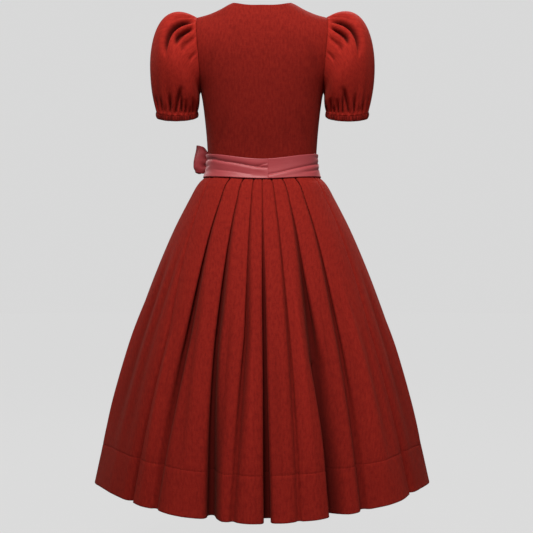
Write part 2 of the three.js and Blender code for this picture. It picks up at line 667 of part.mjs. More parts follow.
// Directions at the knot: out from the waist, and along it towards the back.
function bowFrame() {
  const here = waistPoint(KNOT, BOW.z, BOW.stand);
  const back = waistPoint(KNOT - 2, BOW.z, BOW.stand).sub(waistPoint(KNOT + 2, BOW.z, BOW.stand));
  back.normalize();
  return { here, back, out: new THREE.Vector3(back.y, -back.x, 0) };
}

// A point by its distances from the knot: along the waist, out of it and up.
function atBow(along, out, up) {
  const frame = bowFrame();
  return frame.here.addScaledVector(frame.back, along).addScaledVector(frame.out, out)
    .add(new THREE.Vector3(0, 0, up));
}

// A loop of ribbon that leaves the knot, turns and comes back; hand 1 goes towards the back.
function bowLoop(name, hand, { lift }) {
  const grid = spread(5, (high) => spread(17, (trip) => {
    const turn = 180 * trip;
    const far = sine(turn) ** 0.8;
    const width = lerp(BOW.pinch, BOW.width, smooth(0, 0.75, far));
    const leg = cosine(turn);
    const out = 9.4 + leg * 11 * (0.25 + 0.75 * sine(turn)) + 6 * far;
    const dish = 3 * (1 - (2 * high - 1) ** 2) * leg;
    const fold = 1.5 * Math.cos(TAU * 1.5 * high) * (1 - far) * Math.sign(leg || 1);
    const up = (high - 0.5) * width + lift * far;
    return atBow(hand * (BOW.start + BOW.loop * far), out + dish + fold, up);
  }));
  return wall(name, grid, RIBBON, ROSE, { share: 0.5, roughness: 0.5 });
}

// The knot: a band of ribbon wound round the middle, as a rounded block.
function bowKnot() {
  const tall = 15;
  const wide = 10.5;
  const deep = 8.2;
  const shape = new THREE.SphereGeometry(1, 20, 12);
  const position = shape.getAttribute('position');
  const points = [];
  const box = (v) => Math.sign(v) * Math.abs(v) ** 0.72;
  for (let i = 0; i < position.count; i += 1) {
    const p = new THREE.Vector3().fromBufferAttribute(position, i);
    const pinch = 1 + 0.06 * Math.cos(7 * p.y);
    points.push(atBow(wide * box(p.x) * pinch, 9.4 + deep * box(p.z), tall * box(p.y)));
  }
  const merged = [];
  const seat = points.map((p) => {
    const found = merged.findIndex((q) => q.distanceTo(p) < 1e-6);
    return found >= 0 ? found : merged.push(p) - 1;
  });
  const faces = Array.from(shape.getIndex().array, (i) => seat[i]);
  const whole = [];
  for (let i = 0; i < faces.length; i += 3) {
    const [a, b, c] = faces.slice(i, i + 3);
    if (a !== b && b !== c && c !== a) whole.push(a, b, c);
  }
  return solid('bow_knot', merged, whole, ROSE, 0.5);
}

// A hanging end of the tie: from under the knot over the band, then down the skirt, cut slantwise.
function bowTail(name, { from, to, length, slant, clear }) {
  const start = -13.2;
  const grid = spread(12, (share) => spread(7, (across) => {
    const middle = lerp(from, to, share ** 0.8);
    const width = lerp(8.5, 58, smooth(0.06, 0.42, share));
    const drop = start + share * (length + slant * (across - 0.5) * smooth(0.3, 1, share));
    const fold = 3.2 * smooth(0.1, 0.4, share) * (0.5 + 0.5 * Math.cos(TAU * 1.5 * across));
    const out = lerp(7.6, clear, smooth(0.03, 0.2, share)) + fold;
    return skirtPoint(middle, drop, (across - 0.5) * width, out);
  }));
  return wall(name, grid, RIBBON, ROSE, { share: 0.5, roughness: 0.5 });
}

// ------------------------------------------------------------------ the garment

const dirndl = new THREE.Group();
dirndl.add(
  bodiceBack(),
  bodiceFront('bodice_front_left', 1),
  bodiceFront('bodice_front_right', -1),
  sleeve('sleeve_left', 1),
  sleeve('sleeve_right', -1),
  cuff('cuff_left', 1),
  cuff('cuff_right', -1),
  skirtHalf('skirt_back', BACK_PLEATS, 0),
  skirtHalf('skirt_front', FRONT_PLEATS, -180),
  apron(),
  apronBand(),
  tie(),
  bowKnot(),
  bowLoop('bow_loop_back', 1, { lift: 10 }),
  bowLoop('bow_loop_front', -1, { lift: 3 }),
  bowTail('bow_tail_back', { from: 118.8, to: 112, length: 360, slant: 34, clear: 2.4 }),
  bowTail('bow_tail_front', { from: 125.2, to: 124, length: 330, slant: -30, clear: 7.4 }),
);

export default dirndl;
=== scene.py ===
"""Looks for a dirndl: woven claret dress with puff sleeves and a pleated skirt, rose satin apron.

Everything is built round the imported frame. Tables and helper sums are in millimetres, as a cutter
writes them, and meshes are in metres. +Z is up, -Y is the wearer's front and +X the wearer's left.
Azimuths are degrees from centre back towards the wearer's left, so 180 is centre front.
"""

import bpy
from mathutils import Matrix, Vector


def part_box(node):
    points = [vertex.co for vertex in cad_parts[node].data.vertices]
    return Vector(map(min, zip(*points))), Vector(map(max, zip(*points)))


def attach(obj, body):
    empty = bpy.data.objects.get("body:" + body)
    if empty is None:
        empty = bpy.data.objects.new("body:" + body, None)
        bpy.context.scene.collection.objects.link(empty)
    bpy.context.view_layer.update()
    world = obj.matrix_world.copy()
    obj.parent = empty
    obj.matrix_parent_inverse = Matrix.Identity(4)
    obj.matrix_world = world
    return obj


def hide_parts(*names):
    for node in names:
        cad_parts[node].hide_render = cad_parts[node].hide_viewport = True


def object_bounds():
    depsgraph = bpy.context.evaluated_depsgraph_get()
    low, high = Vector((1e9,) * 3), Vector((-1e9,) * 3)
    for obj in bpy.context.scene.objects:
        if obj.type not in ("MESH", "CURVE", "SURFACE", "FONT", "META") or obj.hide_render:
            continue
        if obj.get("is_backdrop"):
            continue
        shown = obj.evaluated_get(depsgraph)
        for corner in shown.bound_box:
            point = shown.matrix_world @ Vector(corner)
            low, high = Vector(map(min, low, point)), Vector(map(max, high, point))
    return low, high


bl_info = {
    "name": "Dirndl",
    "version": (1, 0, 0),
    "blender": (4, 5, 0),
    "location": "View3D > Sidebar > Dirndl",
    "description": "Builds the cloth, stitching and studio of a dirndl round its packed frame",
    "category": "Add Mesh",
}

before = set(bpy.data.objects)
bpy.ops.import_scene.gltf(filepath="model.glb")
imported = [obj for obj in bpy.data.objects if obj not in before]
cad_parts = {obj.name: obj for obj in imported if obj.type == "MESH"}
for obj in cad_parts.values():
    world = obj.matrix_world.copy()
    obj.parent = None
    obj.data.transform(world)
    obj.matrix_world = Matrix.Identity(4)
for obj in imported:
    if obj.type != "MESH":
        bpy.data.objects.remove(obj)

import math

import bmesh
import bpy
import numpy as np
from bpy.props import FloatProperty, FloatVectorProperty, PointerProperty
from mathutils import Vector

CAD_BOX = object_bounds()
MM = 0.001
BODY = "root"

# ---------------------------------------------------------------- driving dimensions, millimetres


def high(node):
    """A node's highest corner in millimetres."""
    return np.array(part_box(node)[1]) / MM


SEAM = 0.3
WAIST = round(high("skirt_back")[2] + SEAM / 2)
WAIST_DIP = 10
SHOULDER_HALF = round(high("bodice_back")[0])
SKIRT_DROP = 744
NECK_HALF = 72
NECK_LOW_HALF = 52
NECK_POINT = 29
NECK_BACK = 14
NECK_FRONT = -121
NECK_POWER = 3
UNDERARM = -180
CUFF_RADIUS = 50
CUFF_HEIGHT = 13
CUFF_LEAN = 20
RIBBON = 1.5
DEGREE_STEP = 0.5   # half the span over which slopes round the skirt are measured
FACE_STEP = 0.4     # the same on the bodice, in millimetres


# ---------------------------------------------------------------- small tools


def monotone(x, y):
    """A smooth curve through points, with no overshoot between them."""
    step = np.diff(x)
    slope = np.diff(y) / step
    tangent = np.zeros(len(x))
    tangent[0], tangent[-1] = slope[0], slope[-1]
    same = slope[:-1] * slope[1:] > 0
    harmonic = 2 * slope[:-1] * slope[1:] / np.where(same, slope[:-1] + slope[1:], 1)
    tangent[1:-1] = np.where(same, harmonic, 0)

    def curve(at):
        at = np.clip(at, x[0], x[-1])
        i = np.clip(np.searchsorted(x, at, side="right") - 1, 0, len(x) - 2)
        t = (at - x[i]) / step[i]
        rise = y[i + 1] - y[i]
        start, end = tangent[i] * step[i], tangent[i + 1] * step[i]
        return y[i] + t * (start + t * (3 * rise - 2 * start - end + t * (start + end - 2 * rise)))

    return curve


class Table:
    """Rows of named columns. Each column reads as a smooth curve along the first one."""

    def __init__(self, names, *rows):
        self.rows = np.array(rows, float)
        for i, name in enumerate(names.split()[1:], 1):
            setattr(self, name, monotone(self.rows[:, 0], self.rows[:, i]))


def lerp(a, b, t):
    return a + (b - a) * t


def smooth(start, end, value):
    """0 before start, 1 after end, and an even ease between."""
    t = np.clip((value - start) / (end - start), 0, 1)
    return t * t * (3 - 2 * t)


def sine(degrees):
    return np.sin(np.radians(degrees))


def cosine(degrees):
    return np.cos(np.radians(degrees))


def unit(v):
    return v / np.maximum(np.linalg.norm(v, axis=-1, keepdims=True), 1e-9)


def stack(x, y, z):
    return np.stack(np.broadcast_arrays(x, y, z), axis=-1)


def stack_pair(row, column):
    return np.stack(np.broadcast_arrays(row, column), axis=-1)


def from_front(azimuth):
    """Degrees away from centre back, either way round."""
    return np.abs(np.mod(np.asarray(azimuth, float) + 180, 360) - 180)


def steps(start, end, pitch):
    """Even steps of about pitch, both ends included."""
    return np.linspace(start, end, max(2, round(abs(end - start) / pitch) + 1))


def bell(distance, width):
    """1 on a line and soft away from it: a crease or ridge of that width."""
    return np.exp(-((distance / width) ** 2))


def wobble(at, seed, scale):
    """A smooth uneven wave from -1 to 1, the same for the same seed."""
    a = np.asarray(at, float) / scale
    finer = 0.6 * np.sin(2.3 * a + 2.1 * seed) + 0.4 * np.sin(4.1 * a + 4 * seed)
    return (np.sin(a + seed) + finer) / 2


def wave(turns):
    """0 at every whole turn and 1 half way between."""
    return (1 - np.cos(2 * math.pi * turns)) / 2


def creases(across, down, rows):
    """Sum of soft creases on a surface with its own across and down coordinates. Each row is where
    one starts and ends, how wide it is across and how deep, and how much it bows to one side."""
    total = np.zeros(np.broadcast(across, down).shape)
    for from_across, from_down, to_across, to_down, width, depth, bow in rows:
        t = (down - from_down) / (to_down - from_down)
        middle = lerp(from_across, to_across, t) + bow * 4 * t * (1 - t)
        ends = smooth(-0.02, 0.3, t) * (1 - smooth(0.55, 1.02, t))
        total = total + depth * ends * bell(across - middle, width * (0.6 + 0.6 * np.clip(t, 0, 1)))
    return total


# ---------------------------------------------------------------- cloth as closed walls


def slopes(points, closed):
    """Directions along the columns and along the rows of a grid."""
    if closed:
        across = np.roll(points, -1, 1) - np.roll(points, 1, 1)
    else:
        across = np.gradient(points, axis=1)
    return across, np.gradient(points, axis=0)


def arc(points, axis):
    """Distance along a grid from its first row or column."""
    lengths = np.linalg.norm(np.diff(points, axis=axis), axis=-1)
    zero = np.zeros_like(np.take(lengths, [0], axis=axis))
    return np.concatenate([zero, np.cumsum(lengths, axis=axis)], axis=axis)


def cloth(name, node, points, thickness, look, share=1.0, closed=False, outward=None, fold=None,
          slot="claret_cloth"):
    """A piece of cloth of even thickness with rounded edges, on a grid of points in millimetres.
    share is where the grid lies in the wall, 1 for its outer face. fold sets each point's painted
    shade: the lower it is, the darker the cloth is painted."""
    points = np.asarray(points, float)
    rows, count = points.shape[:2]
    across, along = slopes(points, closed)
    normal = unit(np.cross(across, along)) if outward is None else unit(outward)
    outer = points + normal * thickness * (1 - share)
    inner = points - normal * thickness * share
    out_of_edge = np.zeros_like(points)
    out_of_edge[0] += unit(points[0] - points[1])
    out_of_edge[-1] += unit(points[-1] - points[-2])
    if not closed:
        out_of_edge[:, 0] += unit(points[:, 0] - points[:, 1])
        out_of_edge[:, -1] += unit(points[:, -1] - points[:, -2])
    rim = (outer + inner) / 2 + unit(out_of_edge) * thickness * 0.35

    last = count if closed else count - 1
    r, c = np.meshgrid(np.arange(rows - 1), np.arange(last), indexing="ij")
    corner = [(r, c), (r, c + 1), (r + 1, c + 1), (r + 1, c)]
    quads = np.stack([stack_pair(*rc).reshape(-1, 2) for rc in corner], 1)

    def edge(r, c, next_r, next_c):
        return np.stack([stack_pair(r, c), stack_pair(next_r, next_c)], 1)

    c, bottom = np.arange(last), rows - 1
    edges = [edge(0, c, 0, c + 1), edge(bottom, c + 1, bottom, c)]
    if not closed:
        r, side = np.arange(rows - 1), count - 1
        edges += [edge(r + 1, 0, r, 0), edge(r, side, r + 1, side)]
    edges = np.concatenate(edges)
    layer = rows * count

    def index(level, rc):
        return level * layer + rc[..., 0] * count + rc[..., 1] % count

    a, b = edges[:, 0], edges[:, 1]
    rim_quads = np.stack([b, a, a, b], 1)
    faces = [(index(0, quads), quads), (index(1, quads[:, ::-1]), quads[:, ::-1])]
    for upper, lower in ((0, 2), (2, 1)):
        strip = [index(upper, b), index(upper, a), index(lower, a), index(lower, b)]
        faces.append((np.stack(strip, 1), rim_quads))
    index_of = np.concatenate([f for f, _ in faces])
    place_of = np.concatenate([p for _, p in faces]).reshape(-1, 2)
    vertices = np.concatenate([v.reshape(-1, 3) for v in (outer, inner, rim)])
    used, seat = np.unique(index_of, return_inverse=True)
    seat = seat.reshape(index_of.shape)
    vertices = vertices[used]
    t = vertices[seat]
    volume = np.einsum("ij,ij->i", t[:, 0], np.cross(t[:, 1], t[:, 2])).sum()
    volume += np.einsum("ij,ij->i", t[:, 0], np.cross(t[:, 2], t[:, 3])).sum()

    wide = arc(np.concatenate([points, points[:, :1]], 1) if closed else points, 1)
    wide = wide - wide[:, count // 2: count // 2 + 1]
    tall = arc(points, 0)
    if closed:
        tall = np.concatenate([tall, tall[:, :1]], 1)
    uv = np.stack([wide, tall], -1)[place_of[:, 0], place_of[:, 1]] * MM
    uv = uv.reshape(index_of.shape + (2,))
    if volume < 0:
        seat, uv = seat[:, ::-1], uv[:, ::-1]

    mesh = bpy.data.meshes.new(name)
    mesh.from_pydata((vertices * MM).tolist(), [], seat.tolist())
    mesh.polygons.foreach_set("use_smooth", np.ones(len(seat), bool))
    layer_uv = mesh.uv_layers.new(name="cloth")
    layer_uv.data.foreach_set("uv", uv.ravel())
    # Each point's fold value, which sets the painted shade in the finish.
    if fold is not None:
        proud = np.broadcast_to(fold, (rows, count)).reshape(-1)
        proud = np.concatenate([proud, proud, proud])[used]
        mesh.attributes.new("fold", "FLOAT", "POINT").data.foreach_set("value", proud)
    mesh.update()
    return place(name, mesh, look, slot, node)


def place(name, mesh, look, slot, *nodes):
    """Puts a mesh into the scene as a piece of the garment, in place of the nodes it stands for."""
    piece = bpy.data.objects.new(name, mesh)
    bpy.context.scene.collection.objects.link(piece)
    mesh.materials.append(look)
    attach(piece, BODY)
    if nodes:
        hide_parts(*nodes)
    return piece


def tube_faces(rings, sides):
    """Quads between rings of vertices that are numbered ring by ring."""
    faces = []
    for k in range(rings - 1):
        for s in range(sides):
            n = (s + 1) % sides
            faces.append([k * sides + s, k * sides + n, (k + 1) * sides + n, (k + 1) * sides + s])
    return faces


def stitches(name, path, outward, look, slot, pitch, length, thick, lift=0.0):
    """A row of sewn stitches along a path of points, each a short rounded thread."""
    run = arc(path, 0)

    def between(values, where):
        return np.stack([np.interp(where, run, values[:, k]) for k in range(3)], 1)

    at = np.arange(pitch / 2, run[-1], pitch)
    middle = between(path, at)
    up = unit(between(unit(outward), at))
    along = unit(between(path, at + 0.5) - between(path, at - 0.5))
    side = unit(np.cross(along, up))
    sides = 6
    turn = np.arange(sides) * 2 * math.pi / sides
    verts, faces = [], []
    rings = [(-0.5, 0.15), (-0.3, 0.9), (0.0, 1.0), (0.3, 0.9), (0.5, 0.15)]
    for share, full in rings:
        arch = lift + thick * 0.25 * (1 - (2 * share) ** 2)
        centre = middle + along * share * length + up * arch
        for a in turn:
            verts.append(centre + (side * math.cos(a) + up * math.sin(a)) * thick / 2 * full)
    verts = np.stack(verts, 1)
    one = tube_faces(len(rings), sides)
    per = verts.shape[1]
    ends = [list(range(sides))[::-1], [(len(rings) - 1) * sides + s for s in range(sides)]]
    for i in range(len(verts)):
        faces += [[i * per + v for v in face] for face in one + ends]
    mesh = bpy.data.meshes.new(name)
    mesh.from_pydata((verts.reshape(-1, 3) * MM).tolist(), [], faces)
    mesh.polygons.foreach_set("use_smooth", np.ones(len(faces), bool))
    mesh.update()
    place(name, mesh, look, slot)


# ---------------------------------------------------------------- the bodice's surface

TORSO = Table(
    "z half back front side",
    (-400, 131.5, 96.6, 95, -22),
    (-372, 130.5, 97.2, 95, -22),
    (-340, 130.8, 97.4, 97, -21),
    (-300, 133.0, 97.2, 104, -19),
    (-260, 136.5, 97.0, 116, -16),
    (-215, 141.5, 96.0, 127, -13),
    (-180, 148.0, 95.0, 126, -11),
    (-130, 170.0, 92.0, 120, -8),
    (-80, 184.0, 88.0, 112, -4),
    (-30, 190.0, 84.0, 105, 0),
    (50, 190.0, 80.0, 100, 0),
)
TORSO_POWER = 2.3
CREST = Table("x z", (0, 49), (50, 40), (72, NECK_POINT), (80, 25.5), (95, 17), (114, 8), (134, 1),
              (155, -4), (190, -12))
CREST_BACK = 10     # how far back the shoulders' crest lies at the middle of the dress
CREST_REACH = 160   # how far out from there it crosses y = 0
ARMHOLE = Table("z x", (-180, 148), (-168, 147.3), (-150, 147), (-110, 149), (-60, 153.5),
                (-20, 155), (10, 155))
BLADE = -110
BREAST = -200


def waist_z(azimuth):
    """Height of the waist seam."""
    return WAIST - WAIST_DIP * cosine(azimuth) ** 2


def bodice_y(x, z, side):
    """The y of the bodice's outer face behind (side 1) or before (side -1) the point x, z."""
    reach = TORSO.back(z) if side > 0 else TORSO.front(z)
    share = np.minimum(1, np.abs(x) / TORSO.half(z))
    plain = TORSO.side(z) + side * reach * (1 - share ** TORSO_POWER) ** (1 / TORSO_POWER)
    start = BLADE if side > 0 else BREAST
    rise = np.clip((z - start) / (CREST.z(np.abs(x)) - start), 0, 1)
    keep = np.sqrt(1 - rise * rise) if side > 0 else (1 - rise ** 1.5) ** 0.75
    crest_y = CREST_BACK * (1 - np.abs(x) / CREST_REACH)
    return lerp(crest_y, plain, keep) + side * SEAM / 2


def back_top(share):
    x = SHOULDER_HALF * share
    scoop = NECK_BACK + (NECK_POINT - NECK_BACK) * (x / NECK_HALF) ** 3
    return x, np.where(x < NECK_HALF, scoop, CREST.z(x))


FRONT_NECK_SHARE = 0.5


def front_top(share):
    past = (share - FRONT_NECK_SHARE) / (1 - FRONT_NECK_SHARE)
    outside = lerp(NECK_HALF, SHOULDER_HALF, past)
    turn = np.clip(90 * share / FRONT_NECK_SHARE, 0, 90)
    depth = np.abs(cosine(turn)) ** (2 / NECK_POWER)
    inside = lerp(NECK_HALF, NECK_LOW_HALF, depth) * sine(turn) ** (2 / NECK_POWER)
    shoulder = share > FRONT_NECK_SHARE
    x = np.where(shoulder, outside, inside)
    return x, np.where(shoulder, CREST.z(outside), lerp(NECK_POINT, NECK_FRONT, depth))


def bodice_out(points, side):
    """Out of the bodice's face."""
    x, z, step = points[..., 0], points[..., 2], FACE_STEP
    slope_x = (bodice_y(x + step, z, side) - bodice_y(x - step, z, side)) / (2 * step)
    slope_z = (bodice_y(x, z + step, side) - bodice_y(x, z - step, side)) / (2 * step)
    on_crest = z > CREST.z(np.abs(x)) - 0.5
    return side * stack(-slope_x, np.where(on_crest, 0, 1), -slope_z)


def bodice_grid(share, rise, side, top):
    """Points of one half of the bodice: share from centre line 0 to sleeve 1, rise from waist 0."""
    foot = TORSO.half(WAIST) * sine(90 * share)
    away = bodice_y(foot, WAIST, side) - TORSO.side(WAIST)
    base = waist_z(np.degrees(np.arctan2(foot, away))) + SEAM / 2
    end_x, end_z = top(np.array(1.0))
    edge_z = lerp(waist_z(90) + SEAM / 2, end_z, rise)
    limit = np.where(edge_z < UNDERARM, TORSO.half(edge_z), ARMHOLE.x(edge_z))
    peak_x, peak_z = top(share)
    x = limit * lerp(sine(90 * share), peak_x / end_x, smooth(0.25, 1, rise))
    z = lerp(base, peak_z, rise)
    return stack(x, bodice_y(x, z, side), z)


BODICE_THICK = 1.2
RISES = np.concatenate([np.linspace(0, 0.9, 72)[:-1], 1 - 0.1 * np.linspace(1, 0, 22) ** 2])
RISES = RISES[:, None]

# Creases of the bodice: across and height where each starts and ends, width, depth, bow.
BACK_CREASES = (
    (104, -322, 70, -216, 9, -1.1, 4),
    (-108, -318, -82, -226, 8, -1.2, -3),
    (-60, -336, -52, -262, 10, -0.8, 2),
    (44, -340, 38, -252, 9, -0.7, -2),
    (128, -150, 96, -62, 11, -1.3, 5),
    (-126, -158, -100, -56, 12, -1.5, -6),
    (-92, -120, -40, -20, 16, -0.7, 4),
    (66, -110, 60, -10, 15, -0.6, -5),
    (0, -344, 2, -280, 12, -0.6, 1),
)
FRONT_CREASES = (
    (100, -326, 84, -220, 9, -1.3, 4),
    (64, -336, 58, -244, 9, -1.0, -3),
    (26, -338, 30, -268, 8, -0.7, 2),
    (118, -206, 76, -150, 12, -1.6, 6),
    (126, -140, 104, -56, 10, -1.2, 3),
    (88, -120, 74, -28, 12, -0.8, -4),
)
EDGE_TURN = 7


def neck_roll(edge):
    """The turned neck edge: a soft ridge where the seam allowance lies, and its stitched valley."""
    return 0.35 * (1 - smooth(EDGE_TURN - 1.5, EDGE_TURN, edge)) - 0.3 * bell(edge - EDGE_TURN, 1.1)


def slack_cloth(x, z, seed_x, scale_x, seed_z, scale_z):
    """Low uneven swells, none of them near the waist."""
    return 0.5 * wobble(x, seed_x, scale_x) * wobble(z, seed_z, scale_z) * smooth(0, 30, z + 360)


def bodice_painted_shade(z, proud):
    """Painted shade: darker towards the waist and in the creases, lighter towards the shoulders
    under light from above.
    """
    return 0.54 + 0.11 * smooth(-200, -40, z) + 0.05 * proud


def calm_top(on_neck):
    """1, but 0 at the shoulder and the sleeve's head, where the next piece is sewn on."""
    return 1 - smooth(0.9, 0.99, RISES) * (1 - on_neck)


def make_bodice_back(look):
    neck = NECK_HALF / SHOULDER_HALF
    half = np.concatenate([np.linspace(0, neck, 36), np.linspace(neck, 1, 40)[1:]])
    share = np.concatenate([-half[:0:-1], half])[None]
    points = bodice_grid(np.abs(share), RISES, 1, back_top)
    points[..., 0] *= np.sign(share + 1e-12)
    outward = unit(bodice_out(points, 1))
    x, z = points[..., 0], points[..., 2]
    proud = creases(x, z, BACK_CREASES) + slack_cloth(x, z, 1.3, 31, 0.4, 47)
    _, top_z = back_top(np.abs(share))
    on_neck = (np.abs(share) < neck) * smooth(0, 0.15, neck - np.abs(share))
    proud = proud + neck_roll(top_z - z) * on_neck
    points = points + outward * (proud * calm_top(on_neck))[..., None]
    piece = cloth("bodice_back_cloth", "bodice_back", points, BODICE_THICK, look, outward=outward,
                  fold=bodice_painted_shade(z, proud))


def make_bodice_front(look, name, hand):
    neck = FRONT_NECK_SHARE
    half = np.concatenate([np.linspace(0, neck, 44), np.linspace(neck, 1, 36)[1:]])[None]
    points = bodice_grid(half, RISES, -1, front_top)
    points[..., 0] = np.maximum(points[..., 0], SEAM / 2)
    outward = unit(bodice_out(points, -1))
    x, z = points[..., 0], points[..., 2]
    proud = creases(x, z, FRONT_CREASES) + slack_cloth(x, z, 2.1 + hand, 27, 0.9, 41)
    proud = proud - 0.45 * bell(x - 6, 1.2)
    rise = arc(points, 0)
    on_neck = (half < neck) * smooth(0, 0.08, neck - half)
    proud = proud + neck_roll(rise[-1:] - rise) * on_neck
    calm = calm_top(on_neck) * smooth(0, 1.5, x)
    points = points + outward * (proud * calm)[..., None]
    mirror = np.array([hand, 1, 1])
    piece = cloth(f"{name}_cloth", name, points * mirror, BODICE_THICK, look,
                  outward=outward * mirror, fold=bodice_painted_shade(z, proud))


# ---------------------------------------------------------------- sleeves

CUFF_TOP = np.array([205.0, -12.0, -227.0])
SLEEVE_CLEAR = 0.7
SLEEVE_THICK = 1.3
# Painted light: the sleeves' copy of the cloth is this much lighter, as their nap catches more
# light.
SLEEVE_PAINTED_LIGHT = 1.16
PUFF = {
    "top": {"out": 345, "wide": 0, "up": 205, "inward": -95, "close": 0, "down": -290},
    "side": {"out": 230, "wide": 165, "up": 25, "inward": -10, "close": -140, "down": -270},
    "under": {"out": 12, "wide": 0, "up": -10, "inward": 22, "close": 0, "down": -70},
}
GATHERS = 12
CUFF_DRAWN = 0.14   # share of the gathers' depth that goes on into the cuff
GATHER_DEPTH = 7.5
FINE_GATHERS = 41
CUFF_PUCKERS = 48
ROUND_THE_ARM = -np.arange(0, 360, 1.25)[None]
DOWN_THE_SLEEVE = np.concatenate([steps(0, 0.06, 0.012)[:-1], steps(0.06, 0.8, 0.0135)[:-1],
                                  steps(0.8, 1, 0.011)])[:, None]

# Cap pleats on the sleeve's back half: angle from the top at the seam and at the end, how far
# down they reach, width in degrees and depth.
CAP_BACK = (
    (14, 42, 0.24, 4.0, 5.0),
    (26, 70, 0.50, 5.6, 25.0),
    (39, 80, 0.27, 4.2, 16.0),
    (60, 92, 0.22, 4.0, 6.0),
    (84, 108, 0.15, 3.2, 3.5),
)
CAP_FRONT = (
    (16, 45, 0.24, 4.0, 5.0),
    (29, 70, 0.45, 5.4, 21.0),
    (44, 82, 0.29, 4.2, 14.0),
    (66, 94, 0.22, 4.0, 5.5),
)

# Gathers above the cuff: angle at the cuff and where each runs out, how high that is, width, depth.
VALLEYS = (
    (47, 54, 0.86, 3.4, 6.0),
    (60, 65, 0.91, 2.8, 3.5),
    (74, 81, 0.80, 3.6, 7.5),
    (89, 117, 0.62, 4.2, 8.5),
    (107, 111, 0.73, 3.4, 7.5),
    (119, 123, 0.76, 3.4, 6.5),
    (133, 134, 0.86, 3.2, 4.0),
    (147, 145, 0.62, 4.6, 8.0),
    (168, 165, 0.78, 3.8, 5.5),
    (30, 36, 0.84, 3.4, 5.5),
    (13, 15, 0.88, 3.2, 4.0),
    (-6, -8, 0.83, 3.6, 6.0),
    (-27, -33, 0.86, 3.2, 4.5),
    (-45, -52, 0.80, 3.6, 7.0),
    (-63, -68, 0.89, 3.0, 4.0),
    (-80, -92, 0.70, 4.2, 8.0),
    (-98, -103, 0.80, 3.4, 6.0),
    (-114, -118, 0.77, 3.6, 6.5),
    (-133, -134, 0.68, 4.2, 7.5),
    (-152, -150, 0.82, 3.4, 5.0),
)


def puff(column, turn):
    """A PUFF column at an angle round the arm, 0 at the top, 90 at the back, 180 below."""
    c = cosine(turn)
    top, side, under = (PUFF[row][column] for row in ("top", "side", "under"))
    return side + (top - under) / 2 * c + ((top + under) / 2 - side) * c * c


def armhole_points(turn):
    highest = CREST.z(SHOULDER_HALF)
    z = lerp(UNDERARM, highest, (1 + cosine(turn)) / 2)
    x = ARMHOLE.x(z)
    lowered = np.minimum(z, highest - 0.02)
    back = bodice_y(x, lowered, 1) - SEAM / 2
    front = bodice_y(x, lowered, -1) + SEAM / 2
    return stack(x + SLEEVE_CLEAR, np.where(sine(turn) >= 0, back, front), z)


def cuff_points(turn, radius, below):
    sideways = radius * sine(turn)
    lean_sine, lean_cosine = sine(CUFF_LEAN), cosine(CUFF_LEAN)
    return stack(
        CUFF_TOP[0] + radius * cosine(turn),
        CUFF_TOP[1] + sideways * lean_cosine - below * lean_sine,
        CUFF_TOP[2] - sideways * lean_sine - below * lean_cosine,
    )


def puff_points(turn, share):
    """The plain puffed surface, share 0 at the armhole to 1 at the cuff."""
    s = share[..., None] if np.ndim(share) else share
    s2, s3 = s * s, s * s * s
    side = sine(turn)
    leave = stack(puff("out", turn), side * puff("wide", 90), puff("up", turn))
    arrive = stack(puff("inward", turn), side * puff("close", 90), puff("down", turn))
    return (armhole_points(turn) * (2 * s3 - 3 * s2 + 1) + leave * (s3 - 2 * s2 + s)
            + cuff_points(turn, CUFF_RADIUS, 0) * (3 * s2 - 2 * s3) + arrive * (s3 - s2))


def gather_wave(turn, seed):
    """Uneven gathers round the cuff, 0 on their ridges and 1 in the valleys."""
    uneven = turn + 3.2 * np.sin(np.radians(3 * turn) + seed) + 2 * sine(5 * turn + 40)
    depth = 0.8 + 0.2 * np.sin(np.radians(2.4 * turn) + 2 * seed)
    return wave(GATHERS * uneven / 360) ** 1.3 * depth


def sleeve_fold(turn, share, seed):
    """How far the cap's pleats and the cuff's gathers draw the cloth in."""
    wrapped = np.mod(turn + 180, 360) - 180
    total = 0
    for side, rows in ((1, CAP_BACK), (-1, CAP_FRONT)):
        for at_seam, at_end, reach, width, depth in rows:
            t = share / reach
            middle = lerp(at_seam, at_end, np.clip(t, 0, 1.2) ** 0.4)
            wide = width * (0.75 + 0.9 * t)
            off = side * wrapped - middle
            steep = np.where(off > 0, off / (wide * 0.5), off / (wide * 1.1))
            fade = smooth(0, 0.16, t) * (1 - smooth(0.6, 1.08, t))
            total = total + depth * fade * bell(steep, 1)
    for at_cuff, at_end, height, width, depth in VALLEYS:
        t = (share - height) / (1 - height)
        off = np.mod(wrapped - lerp(at_end, at_cuff, np.clip(t, 0, 1)) + 180, 360) - 180
        fade = smooth(0, 0.7, t) * (1 - smooth(0.965, 1, share))
        total = total + depth * fade * bell(off, width * (1.35 - 0.45 * np.clip(t, 0, 1)))
    drawn = smooth(0.58, 0.9, share) * lerp(0.3, CUFF_DRAWN, smooth(0.93, 1, share))
    fine = 0.9 * smooth(0.8, 0.95, share) * wave(FINE_GATHERS * turn / 360)
    fine = fine * (1 - smooth(0.96, 1, share))
    slack = 1.5 * wobble(turn, seed, 23) * smooth(0.1, 0.4, share) * (1 - smooth(0.6, 0.95, share))
    return total + GATHER_DEPTH * drawn * gather_wave(turn, seed) + fine + slack


def sleeve_points(turn, share, seed):
    points = puff_points(turn, share)
    across = puff_points(turn + 1, share) - puff_points(turn - 1, share)
    along = (puff_points(turn, np.minimum(1, share + 0.01))
             - puff_points(turn, np.maximum(0, share - 0.01)))
    outward = unit(np.cross(along, across))
    drawn = sleeve_fold(turn, share, seed)
    return points - outward * drawn[..., None], drawn


def make_sleeve(look, name, hand, seed):
    turn, share = np.broadcast_arrays(ROUND_THE_ARM, DOWN_THE_SLEEVE)
    points, drawn = sleeve_points(turn, share, seed)
    points = points * np.array([hand, 1, 1])
    # Painted shade: darker in the cap's pleats and the gathers, where the cloth is drawn in.
    piece = cloth(f"{name}_cloth", name, points, SLEEVE_THICK, look, closed=True,
                  fold=0.92 - 0.06 * drawn)


